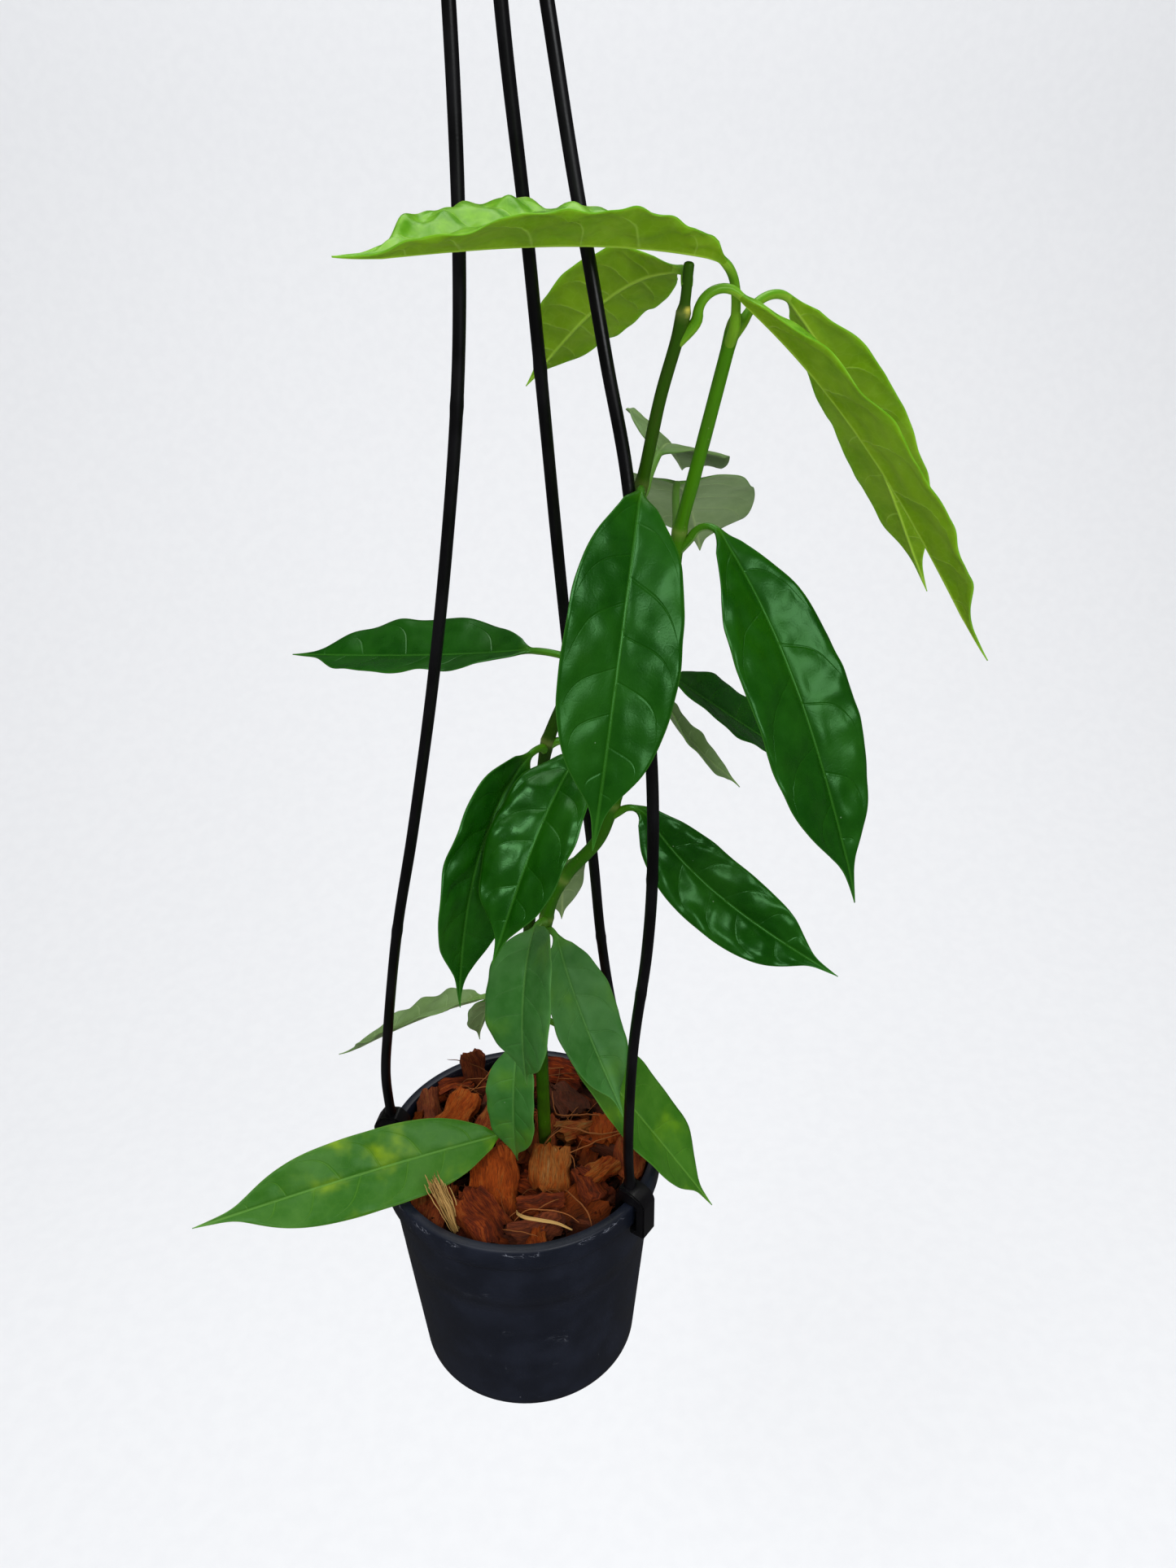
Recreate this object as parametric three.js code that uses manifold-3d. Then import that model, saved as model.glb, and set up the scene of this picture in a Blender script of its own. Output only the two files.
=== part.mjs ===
// Potted hoya: two climbing stems with waved, drip-tipped leaves in coconut-husk chips,
// in a small black nursery pot that hangs from a three-strand plastic hanger.
// Millimetres, +Z up. Heights below are measured from the pot's rim plane; the finished part is
// moved down at the end so that the origin is the seat of the hook.
import * as THREE from 'three';
import { mergeVertices } from 'three/addons/utils/BufferGeometryUtils.js';
import Module from 'manifold-3d';

const wasm = await Module();
wasm.setup();

// ---------------------------------------------------------------- driving dimensions
const GAP = 0.35; // between pieces that touch in the real plant
const LEAF_GAP = 0.65; // between a stem and the end of a leaf stalk
const POT = {
  height: 88,
  rimRadius: 48,
  lipInner: 44.5,
  wallUnderBand: 46,
  baseRadius: 39,
  wall: 1.6,
  floor: 2,
  band: 9,
  edge: 1,
  sides: 40,
};
const DRAIN = { count: 8, radius: 3.5, ring: 27, sides: 12 };
const BED = { top: -9, sides: 40, chips: 40, spread: 38, heap: 4.5, seed: 11 };
const CHIP = { length: [12, 22], width: [9, 16], thickness: [3.5, 7], tilt: 28 };
const TALL_CHIP = { size: [13, 5, 26], lean: -14, centre: [-17, 33, -3] };
const STEM = { sides: 8, stations: 34, holeClearance: 0.9, swelling: 0.3, swellingReach: 3 };
const STRAND = { radius: 1.7, sides: 8, stations: 26, topHeight: 444 };
const CLIP = { width: 7, clearance: 0.4, innerLeg: 41.2, innerToe: -6, outerLeg: 52.6, outerToe: -12 };
const HUB = { bottom: 438, top: 452, radius: 9.5, neck: 4, ring: 5, socket: 2.2, sides: 24 };
const HOOK = { centre: 480, radius: 13, rod: 2.4, sides: 8, stations: 30, firstAngle: -22, lastAngle: 200 };
const HOOK_SEAT = HOOK.centre + HOOK.radius - HOOK.rod;
const BLADE = {
  thickness: 0.8,
  stations: 12,
  columns: [-1, -0.5, 0, 0.5, 1],
  wave: 0.55,
  waveShift: 1.3,
  leastHalfWidth: 0.55,
  leastTip: 0.4,
  stalkRadius: 1,
  youngStalkRadius: 1.1,
  stalkStations: 4,
};

const rad = (degrees) => degrees * Math.PI / 180;
const clamp01 = (x) => Math.min(1, Math.max(0, x));

// ---------------------------------------------------------------- the growing plant
// Points of each stem [x, y, z], from the buried end to the growing tip.
const OLD_STEM = {
  name: 'stem_older',
  radii: [2.1, 1.45],
  slimTip: { from: 271.5, to: 276, radius: 1.2 },
  points: [
    [2, 3, -27], [2, 3, -12], [2, 3, 3], [2, 3, 22], [3, 3, 48], [4, 4, 62], [6, 4, 90],
    [7, 2, 110], [11, -2, 142], [13, -3, 155], [17, -4, 166], [24, -6, 181], [31, -9, 203],
    [38, -13, 230], [42, -18, 253], [46, -24, 272], [47, -25, 283],
  ],
  nodes: [62, 155, 181, 230, 272],
};
const YOUNG_STEM = {
  name: 'stem_younger',
  radii: [2.2, 1.65],
  slimTip: { from: 267, to: 271, radius: 1.25 },
  points: [
    [8, 0, -27], [8, 0, -12], [8, 0, 3], [8, 1, 36], [8, 1, 53], [11, 0, 92], [16, 0, 106],
    [28, 1, 120], [32, 2, 130], [38, 1, 150], [42, -1, 172], [47, -4, 194], [49, -7, 216],
    [52, -9.5, 231], [55, -12, 246], [60, -16, 271],
  ],
  nodes: [92, 106, 130, 172, 216, 268],
};

// Each leaf: the height at which it leaves its stem, then in degrees the bearing of its blade,
// the turn of its stalk away from that bearing, how far the bearing swings along the leaf, the
// rise of the stalk, the lean of the blade at its base, the blade's droop, its roll and twist
// about the midrib and its fold along it; stalk, blade and width are lengths. The blade begins
// early, before the end of the stalk; left and right are shares of its half width, and widest,
// where it is below 1, moves the widest place farther from the stalk.
const LEAVES = [
  { name: 'leaf_01', stem: OLD_STEM, at: 12, bearing: 195, turn: 40, swing: 1, rise: -15, lean: 1,
    droop: 5, stalk: 16, blade: 96, width: 29, roll: 39, twist: 0, fold: 14, waves: 3,
    early: 7, left: 0.93, right: 0.88, widest: 1.1 },
  { name: 'leaf_02', stem: OLD_STEM, at: 48, bearing: 254, turn: -5, swing: -2, rise: 14, lean: -49,
    droop: 45, stalk: 6, blade: 45, width: 19, roll: -15, twist: -4, fold: 14, waves: 2,
    early: 3, left: 1, right: 1, widest: 1 },
  { name: 'leaf_03', stem: YOUNG_STEM, at: 94, bearing: 256, turn: -10, swing: -1, rise: 30, lean: 1,
    droop: 101, stalk: 10, blade: 55, width: 26, roll: -27, twist: -6, fold: 14, waves: 2,
    early: 4, left: 1, right: 1, widest: 1 },
  { name: 'leaf_04', stem: YOUNG_STEM, at: 90, bearing: 302, turn: -4, swing: 5, rise: 20, lean: -69,
    droop: -17, stalk: 5, blade: 59, width: 24, roll: -1, twist: 2, fold: 14, waves: 3,
    early: 4, left: 1, right: 1, widest: 1 },
  { name: 'leaf_05', stem: YOUNG_STEM, at: 53, bearing: 340, turn: -20, swing: 3, rise: 15, lean: -48,
    droop: 7, stalk: 5, blade: 86, width: 29, roll: -15, twist: 10, fold: 14, waves: 3,
    early: 3, left: 1, right: 1, widest: 0.92 },
  { name: 'leaf_06', stem: OLD_STEM, at: 61, bearing: 155, turn: 19, swing: -2, rise: -4, lean: -29,
    droop: 11, stalk: 15, blade: 71, width: 22, roll: -7, twist: -1, fold: 14, waves: 5,
    early: 5, left: 1, right: 1, widest: 1 },
  { name: 'leaf_07', stem: OLD_STEM, at: 57, bearing: 135, turn: 1, swing: 0, rise: 10, lean: -32,
    droop: 46, stalk: 8, blade: 30, width: 14, roll: 0, twist: 0, fold: 14, waves: 2,
    early: 3, left: 1, right: 1, widest: 1 },
  { name: 'leaf_08', stem: OLD_STEM, at: 155, bearing: 230, turn: 6, swing: 1, rise: 19, lean: -21,
    droop: 59, stalk: 8, blade: 76, width: 26, roll: 68, twist: 6, fold: 14, waves: 4,
    early: 4, left: 1, right: 0.92, widest: 1 },
  { name: 'leaf_09', stem: OLD_STEM, at: 156, bearing: 239, turn: 108, swing: -13, rise: 13, lean: -22,
    droop: 37, stalk: 13, blade: 62, width: 26, roll: 4, twist: 1, fold: 14, waves: 4,
    early: 5, left: 1, right: 1, widest: 1 },
  { name: 'leaf_10', stem: OLD_STEM, at: 181, bearing: 155, turn: -3, swing: -2, rise: 14, lean: -12,
    droop: -5, stalk: 17, blade: 77, width: 28, roll: 13, twist: 2, fold: 14, waves: 4,
    early: 6, left: 0.88, right: 1.03, widest: 1 },
  { name: 'leaf_11', stem: YOUNG_STEM, at: 130, bearing: 337, turn: -3, swing: 4, rise: 39, lean: -57,
    droop: -28, stalk: 9, blade: 77, width: 27, roll: -51, twist: -2, fold: 14, waves: 5,
    early: 7, left: 0.84, right: 0.94, widest: 1 },
  { name: 'leaf_12', stem: YOUNG_STEM, at: 106, bearing: 88, turn: -7, swing: 3, rise: 40, lean: -31,
    droop: 50, stalk: 6, blade: 36, width: 18, roll: 12, twist: 2, fold: 14, waves: 2,
    early: 3, left: 1, right: 1, widest: 1 },
  { name: 'leaf_13', stem: OLD_STEM, at: 230, bearing: 256, turn: 9, swing: -19, rise: 39, lean: -50,
    droop: 21, stalk: 13, blade: 84, width: 30, roll: 30, twist: 5, fold: 12, waves: 3,
    early: 8, left: 1, right: 1.03, widest: 1 },
  { name: 'leaf_14', stem: YOUNG_STEM, at: 216, bearing: 312, turn: 38, swing: 3, rise: 61, lean: -45,
    droop: 25, stalk: 9, blade: 106, width: 33, roll: -20, twist: 6, fold: 14, waves: 3,
    early: 5, left: 0.86, right: 1.12, widest: 0.92 },
  { name: 'leaf_15', stem: YOUNG_STEM, at: 173, bearing: 20, turn: 9, swing: 2, rise: -8, lean: -40,
    droop: -1, stalk: 8, blade: 55, width: 22, roll: -32, twist: 4, fold: 14, waves: 3,
    early: 7, left: 1, right: 1, widest: 0.85 },
  { name: 'leaf_16', stem: YOUNG_STEM, at: 169, bearing: 29, turn: 29, swing: -3, rise: -17, lean: -66,
    droop: -22, stalk: 10, blade: 49, width: 13, roll: -32, twist: -3, fold: 14, waves: 3,
    early: 4, left: 1, right: 1, widest: 1 },
  { name: 'leaf_17', stem: YOUNG_STEM, at: 216, bearing: 72, turn: 20, swing: -3, rise: 84, lean: -18,
    droop: 31, stalk: 19, blade: 48, width: 37, roll: 2, twist: 0, fold: 12, waves: 3,
    early: 4, left: 1, right: 1, widest: 1 },
  { name: 'leaf_18', stem: OLD_STEM, at: 230, bearing: 73, turn: -17, swing: 4, rise: 55, lean: -1,
    droop: 26, stalk: 14, blade: 63, width: 32, roll: -21, twist: -9, fold: 14, waves: 3,
    early: 4, left: 1, right: 1, widest: 1 },
  { name: 'leaf_19', stem: YOUNG_STEM, at: 270, bearing: 200, turn: 59, swing: 0, rise: 96, lean: 11,
    droop: 14, stalk: 21, blade: 84, width: 34, roll: -4, twist: 11, fold: 24, waves: 4,
    early: 8, left: 1, right: 1, widest: 0.9 },
  { name: 'leaf_20', stem: OLD_STEM, at: 281, bearing: 115, turn: -25, swing: 12, rise: 14, lean: -3,
    droop: 37, stalk: 4, blade: 76, width: 23, roll: -43, twist: 14, fold: 14, waves: 4,
    early: 2, left: 0.98, right: 1.04, widest: 0.92 },
  { name: 'leaf_21', stem: OLD_STEM, at: 272, bearing: 7, turn: -8, swing: -4, rise: 90, lean: -39,
    droop: 20, stalk: 13, blade: 122, width: 30, roll: -7, twist: 1, fold: 25, waves: 5,
    early: 3, left: 1, right: 1, widest: 1 },
  { name: 'leaf_22', stem: YOUNG_STEM, at: 270, bearing: 37, turn: -10, swing: 1, rise: 55, lean: -40,
    droop: 16, stalk: 18, blade: 119, width: 23, roll: 19, twist: -5, fold: 14, waves: 5,
    early: 6, left: 1, right: 1, widest: 1 },
];

// The outline of a blade: share of its length from base to drip tip, share of its half width.
const BLADE_OUTLINE = [
  [0, 0], [0.05, 0.2], [0.12, 0.48], [0.18, 0.7], [0.25, 0.86], [0.32, 0.95], [0.4, 0.99],
  [0.47, 1], [0.54, 0.995], [0.62, 0.95], [0.69, 0.86], [0.74, 0.75], [0.78, 0.62], [0.82, 0.45],
  [0.85, 0.31], [0.88, 0.185], [0.91, 0.11], [0.94, 0.07], [0.97, 0.038], [1, 0.008],
];

// ---------------------------------------------------------------- the hanger's strands
// Each strand: the bearing of its clip, the radius at which it stands on the clip, and the
// points [x, y, z] that its bowed rod passes on the way up to the hub.
const STRANDS = [
  { name: 'hanger_strand_left', bearing: 165, foot: 47,
    path: [[-45.4, 10.5, 24], [-42.3, 7, 48], [-35.6, 3.5, 89], [-27.7, 0, 126], [-18.3, -3, 174],
      [-11.5, -3.3, 215], [-6.5, -2.3, 252], [-4.2, -1, 281], [-3.2, 0.2, 320], [-4, 1, 400]] },
  { name: 'hanger_strand_back', bearing: 34, foot: 46.5,
    path: [[38, 25.5, 18], [33.7, 22.7, 40], [30, 20, 70], [27.5, 18.5, 103], [22.5, 15, 155],
      [18.5, 12.5, 204], [14.8, 10, 256], [12.2, 8.3, 291], [8.3, 5.6, 335], [5.5, 3.7, 400]] },
  { name: 'hanger_strand_front', bearing: -40, foot: 45,
    path: [[33.8, -28.8, 20], [35, -30, 63], [38.6, -32, 101], [39.8, -32.3, 126],
      [39.7, -30, 156], [37.5, -25.2, 192], [34.1, -17, 235], [29.7, -14, 260], [26.3, -10, 281],
      [22.4, -8, 304], [17.9, -6, 334], [9.5, -4.5, 390]] },
];

// ---------------------------------------------------------------- helpers
function solidFromMesh(geometry) {
  geometry.deleteAttribute('normal');
  geometry.deleteAttribute('uv');
  const welded = mergeVertices(geometry, 1e-4);
  return new wasm.Manifold(new wasm.Mesh({
    numProp: 3,
    vertProperties: new Float32Array(welded.attributes.position.array),
    triVerts: new Uint32Array(welded.index.array),
  }));
}

function geometryFromSolid(solid) {
  const mesh = solid.getMesh();
  const positions = [];
  for (let i = 0; i < mesh.vertProperties.length; i += mesh.numProp) {
    positions.push(mesh.vertProperties[i], mesh.vertProperties[i + 1], mesh.vertProperties[i + 2]);
  }
  const geometry = new THREE.BufferGeometry();
  geometry.setAttribute('position', new THREE.Float32BufferAttribute(positions, 3));
  geometry.setIndex(Array.from(mesh.triVerts));
  return geometry;
}

// A closed tube through rings that all have the same number of points.
function skin(rings) {
  const positions = [];
  const index = [];
  const n = rings[0].length;
  for (const ring of rings) {
    for (const p of ring) positions.push(p.x, p.y, p.z);
  }
  for (let i = 0; i + 1 < rings.length; i += 1) {
    for (let j = 0; j < n; j += 1) {
      const k = (j + 1) % n;
      const a = i * n + j;
      const b = i * n + k;
      const c = a + n;
      const d = b + n;
      index.push(a, b, d, a, d, c);
    }
  }
  for (const [start, flip] of [[0, true], [(rings.length - 1) * n, false]]) {
    for (let j = 1; j + 1 < n; j += 1) {
      const fan = [start, start + j, start + j + 1];
      index.push(...(flip ? fan.reverse() : fan));
    }
  }
  const geometry = new THREE.BufferGeometry();
  geometry.setAttribute('position', new THREE.Float32BufferAttribute(positions, 3));
  geometry.setIndex(index);
  return geometry;
}

function circleRing(centre, side, up, radius, sides) {
  const ring = [];
  for (let j = 0; j < sides; j += 1) {
    const a = 2 * Math.PI * j / sides;
    ring.push(centre.clone()
      .addScaledVector(side, radius * Math.cos(a))
      .addScaledVector(up, radius * Math.sin(a)));
  }
  return ring;
}

// A round rod along a curve, its section carried along without twisting.
function rod(curve, stations, sides, radiusAt) {
  const rings = [];
  const tangent = new THREE.Vector3();
  const side = new THREE.Vector3(0.2, 1, 0);
  for (let i = 0; i <= stations; i += 1) {
    const t = i / stations;
    tangent.copy(curve.getTangent(t));
    side.addScaledVector(tangent, -side.dot(tangent)).normalize();
    const up = new THREE.Vector3().crossVectors(tangent, side);
    const centre = curve.getPoint(t);
    rings.push(circleRing(centre, side, up, radiusAt(centre, t), sides));
  }
  return skin(rings);
}

function cylinder(radius, z0, z1, x, y, sides) {
  const geometry = new THREE.CylinderGeometry(radius, radius, z1 - z0, sides);
  geometry.rotateX(Math.PI / 2);
  geometry.translate(x, y, (z0 + z1) / 2);
  return solidFromMesh(geometry);
}

function turned(profile, sides) {
  const geometry = new THREE.LatheGeometry(profile.map(([r, z]) => new THREE.Vector2(r, z)), sides);
  geometry.rotateX(Math.PI / 2);
  return geometry;
}

function random(seed) {
  let state = seed;
  return () => {
    state = (state + 0x6d2b79f5) | 0;
    let t = Math.imul(state ^ (state >>> 15), 1 | state);
    t = (t + Math.imul(t ^ (t >>> 7), 61 | t)) ^ t;
    return ((t ^ (t >>> 14)) >>> 0) / 4294967296;
  };
}

// ---------------------------------------------------------------- pot
function innerRadius(z) {
  const bottom = POT.baseRadius - POT.wall;
  return bottom + (POT.lipInner - bottom) * (z + POT.height) / POT.height;
}

function potGeometry() {
  const h = POT.height;
  const profile = [
    [0, -h],
    [POT.baseRadius - POT.edge, -h],
    [POT.baseRadius, -h + POT.edge],
    [POT.wallUnderBand, -POT.band],
    [POT.rimRadius - POT.edge / 2, -POT.band],
    [POT.rimRadius, -POT.band + POT.edge],
    [POT.rimRadius, -POT.edge],
    [POT.rimRadius - POT.edge, 0],
    [POT.lipInner + POT.edge / 2, 0],
    [POT.lipInner, -POT.edge / 2],
    [innerRadius(-h + POT.floor), -h + POT.floor],
    [0, -h + POT.floor],
  ];
  let pot = solidFromMesh(turned(profile, POT.sides));
  for (let i = 0; i < DRAIN.count; i += 1) {
    const a = 2 * Math.PI * (i + 0.5) / DRAIN.count;
    const x = DRAIN.ring * Math.cos(a);
    const y = DRAIN.ring * Math.sin(a);
    pot = pot.subtract(cylinder(DRAIN.radius, -h - 1, -h + POT.floor + 1, x, y, DRAIN.sides));
  }
  return geometryFromSolid(pot);
}

// ---------------------------------------------------------------- husk chips
function chip(rand, x, y, z) {
  const between = ([low, high]) => low + (high - low) * rand();
  const size = [between(CHIP.length), between(CHIP.width), between(CHIP.thickness)];
  const geometry = new THREE.BoxGeometry(...size);
  const taper = between([0.55, 1]);
  const position = geometry.attributes.position;
  for (let i = 0; i < position.count; i += 1) {
    if (position.getX(i) < 0) continue;
    position.setY(i, position.getY(i) * taper);
    position.setZ(i, position.getZ(i) * (0.6 + 0.4 * taper));
  }
  geometry.rotateX(rad(between([-CHIP.tilt, CHIP.tilt])));
  geometry.rotateY(rad(between([-CHIP.tilt, CHIP.tilt])));
  geometry.rotateZ(rad(between([0, 360])));
  geometry.translate(x, y, z);
  return solidFromMesh(geometry);
}

// The room that a strand's clip takes inside the rim.
function clipZone(strand) {
  const inner = CLIP.innerLeg - CLIP.clearance;
  const outer = POT.rimRadius;
  const geometry = new THREE.BoxGeometry(outer - inner, CLIP.width + 4 * CLIP.clearance, 30);
  geometry.translate((inner + outer) / 2, 0, 15 + CLIP.innerToe - 2 * CLIP.clearance);
  geometry.rotateZ(rad(strand.bearing));
  return solidFromMesh(geometry);
}

// Husk chips heaped on a core that fills the pot, trimmed clear of the pot, the stems and the clips.
function bedGeometry() {
  const rand = random(BED.seed);
  const bottom = -POT.height + POT.floor + GAP;
  const lipClear = POT.lipInner - 1.5 * GAP;
  const core = solidFromMesh(turned([
    [0, bottom],
    [innerRadius(bottom) - GAP, bottom],
    [innerRadius(BED.top) - GAP, BED.top],
    [0, BED.top],
  ], BED.sides));
  const limit = solidFromMesh(turned([
    [0, bottom],
    [innerRadius(bottom) - GAP, bottom],
    [lipClear, -POT.edge / 2],
    [lipClear, 20],
    [0, 20],
  ], BED.sides));
  const goldenAngle = Math.PI * (3 - Math.sqrt(5));
  let bed = core;
  for (let i = 0; i < BED.chips; i += 1) {
    const reach = BED.spread * Math.sqrt((i + 0.5) / BED.chips);
    const a = i * goldenAngle;
    const height = BED.top + 1 + BED.heap * rand();
    bed = bed.add(chip(rand, reach * Math.cos(a), reach * Math.sin(a), height));
  }
  const tallest = new THREE.BoxGeometry(...TALL_CHIP.size);
  tallest.rotateY(rad(TALL_CHIP.lean));
  tallest.translate(...TALL_CHIP.centre);
  bed = bed.add(solidFromMesh(tallest));
  bed = bed.intersect(limit);
  for (const stem of [OLD_STEM, YOUNG_STEM]) {
    const [x, y, z] = stem.points[0];
    const radius = stem.radii[0] + STEM.holeClearance;
    bed = bed.subtract(cylinder(radius, z - GAP, 30, x, y, 2 * STEM.sides));
  }
  for (const strand of STRANDS) bed = bed.subtract(clipZone(strand));
  const pieces = bed.decompose().sort((a, b) => b.volume() - a.volume());
  return geometryFromSolid(pieces[0]);
}

// ---------------------------------------------------------------- hanger
// Section of a clip: an upside-down U that sits over the pot's rim, with a shoulder for the rod.
function clipOutline(foot) {
  const innerFace = POT.lipInner - 2.5 * CLIP.clearance;
  const outerFace = POT.rimRadius + CLIP.clearance;
  const underBand = POT.wallUnderBand + 2.5 * CLIP.clearance;
  return new THREE.Shape([
    [CLIP.innerLeg, CLIP.innerToe],
    [innerFace, CLIP.innerToe],
    [innerFace, CLIP.clearance],
    [outerFace + 1, CLIP.clearance],
    [outerFace + 1, -POT.band - CLIP.clearance],
    [underBand, -POT.band - CLIP.clearance],
    [underBand, CLIP.outerToe],
    [CLIP.outerLeg, CLIP.outerToe],
    [CLIP.outerLeg, 1.6],
    [CLIP.outerLeg - 1.6, 4],
    [foot + 3, 5.4],
    [foot - 2.6, 6],
    [CLIP.innerLeg + 1.2, 4],
    [CLIP.innerLeg, 2.4],
  ].map(([r, z]) => new THREE.Vector2(r, z)));
}

function strandGeometry(strand) {
  const bearing = rad(strand.bearing);
  const onBearing = (r, z) => new THREE.Vector3(r * Math.cos(bearing), r * Math.sin(bearing), z);
  const curve = new THREE.CatmullRomCurve3([
    onBearing(strand.foot, 4),
    ...strand.path.map((p) => new THREE.Vector3(...p)),
    onBearing(HUB.ring, HUB.bottom - 2),
    onBearing(HUB.ring, STRAND.topHeight),
  ], false, 'centripetal');
  const shank = solidFromMesh(rod(curve, STRAND.stations, STRAND.sides, () => STRAND.radius));
  const clip = new THREE.ExtrudeGeometry(clipOutline(strand.foot), {
    depth: CLIP.width,
    bevelEnabled: false,
    steps: 1,
  });
  clip.translate(0, 0, -CLIP.width / 2);
  clip.rotateX(Math.PI / 2);
  clip.rotateZ(bearing);
  return geometryFromSolid(shank.add(solidFromMesh(clip)));
}

function hookGeometry() {
  const shoulder = HUB.radius - HUB.neck;
  const hubProfile = [
    [0, HUB.bottom],
    [HUB.radius - 1.5, HUB.bottom],
    [HUB.radius, HUB.bottom + 1.5],
    [HUB.radius, HUB.top - shoulder],
    [HUB.neck + 1.5, HUB.top - 1],
    [HUB.neck, HUB.top],
    [0, HUB.top],
  ];
  let hub = solidFromMesh(turned(hubProfile, HUB.sides));
  for (const strand of STRANDS) {
    const x = HUB.ring * Math.cos(rad(strand.bearing));
    const y = HUB.ring * Math.sin(rad(strand.bearing));
    hub = hub.subtract(cylinder(HUB.socket, HUB.bottom - 1, STRAND.topHeight + GAP, x, y, 12));
  }
  const path = [[0, HUB.top - 4], [0, HUB.top + 1], [4, HUB.top + 6], [10.5, HUB.top + 13]];
  for (let a = HOOK.firstAngle; a <= HOOK.lastAngle; a += 18.5) {
    path.push([HOOK.radius * Math.cos(rad(a)), HOOK.centre + HOOK.radius * Math.sin(rad(a))]);
  }
  const points = path.map(([x, z]) => new THREE.Vector3(x, 0, z));
  const curve = new THREE.CatmullRomCurve3(points, false, 'centripetal');
  const bend = solidFromMesh(rod(curve, HOOK.stations, HOOK.sides, () => HOOK.rod));
  return geometryFromSolid(hub.add(bend));
}

// ---------------------------------------------------------------- stems and leaves
function stemCurve(stem) {
  const points = stem.points.map((p) => new THREE.Vector3(...p));
  return new THREE.CatmullRomCurve3(points, false, 'centripetal');
}

function stemAt(stem, height) {
  const curve = stemCurve(stem);
  let low = 0;
  let high = 1;
  for (let i = 0; i < 30; i += 1) {
    const middle = (low + high) / 2;
    if (curve.getPoint(middle).z < height) low = middle;
    else high = middle;
  }
  return curve.getPoint(low);
}

function stemRadius(stem, z) {
  const [foot, tip] = stem.radii;
  const top = stem.points[stem.points.length - 1][2];
  let radius = foot + (tip - foot) * clamp01(z / top);
  for (const node of stem.nodes) {
    radius += STEM.swelling * Math.exp(-(((z - node) / STEM.swellingReach) ** 2));
  }
  const slim = clamp01((z - stem.slimTip.from) / (stem.slimTip.to - stem.slimTip.from));
  radius += (stem.slimTip.radius - radius) * slim * slim * (3 - 2 * slim);
  return radius;
}

function stemGeometry(stem) {
  return rod(stemCurve(stem), STEM.stations, STEM.sides, (centre) => stemRadius(stem, centre.z));
}

// Half the width of a blade, as a share of its widest, from base (0) to drip tip (1).
function bladeShape(x, widest) {
  const place = clamp01(x) ** (1 / widest);
  for (let i = 1; i < BLADE_OUTLINE.length; i += 1) {
    const [to, after] = BLADE_OUTLINE[i];
    const [from, before] = BLADE_OUTLINE[i - 1];
    if (place <= to) return before + (after - before) * (place - from) / (to - from);
  }
  return 0;
}

// The midrib: position and directions at a distance from the stem.
function midrib(leaf, distance) {
  const total = leaf.stalk + leaf.blade;
  const elevation = (s) => {
    if (s < leaf.stalk) return rad(leaf.rise + (leaf.lean - leaf.rise) * s / leaf.stalk);
    const v = (s - leaf.stalk) / leaf.blade;
    return rad(leaf.lean - leaf.droop * (1 - (1 - v) ** 2));
  };
  const heading = (s) => {
    return rad(leaf.bearing + leaf.swing * s / total + leaf.turn * clamp01(1 - s / leaf.stalk));
  };
  const direction = (s) => new THREE.Vector3(
    Math.cos(elevation(s)) * Math.cos(heading(s)),
    Math.cos(elevation(s)) * Math.sin(heading(s)),
    Math.sin(elevation(s)),
  );
  const clear = stemRadius(leaf.stem, leaf.at) + LEAF_GAP
    + BLADE.stalkRadius * Math.abs(Math.sin(rad(leaf.rise)));
  const position = stemAt(leaf.stem, leaf.at);
  position.x += clear * Math.cos(heading(0));
  position.y += clear * Math.sin(heading(0));
  const steps = 60;
  for (let i = 0; i < steps; i += 1) {
    position.addScaledVector(direction((i + 0.5) * distance / steps), distance / steps);
  }
  const level = new THREE.Vector3(Math.sin(heading(distance)), -Math.cos(heading(distance)), 0);
  const v = clamp01((distance - leaf.stalk) / leaf.blade);
  const roll = rad(leaf.roll + leaf.twist * v);
  const normal = new THREE.Vector3().crossVectors(level, direction(distance));
  const side = level.clone().multiplyScalar(Math.cos(roll)).addScaledVector(normal, Math.sin(roll));
  const up = normal.multiplyScalar(Math.cos(roll)).addScaledVector(level, -Math.sin(roll));
  return { position, side, up, v };
}

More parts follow.
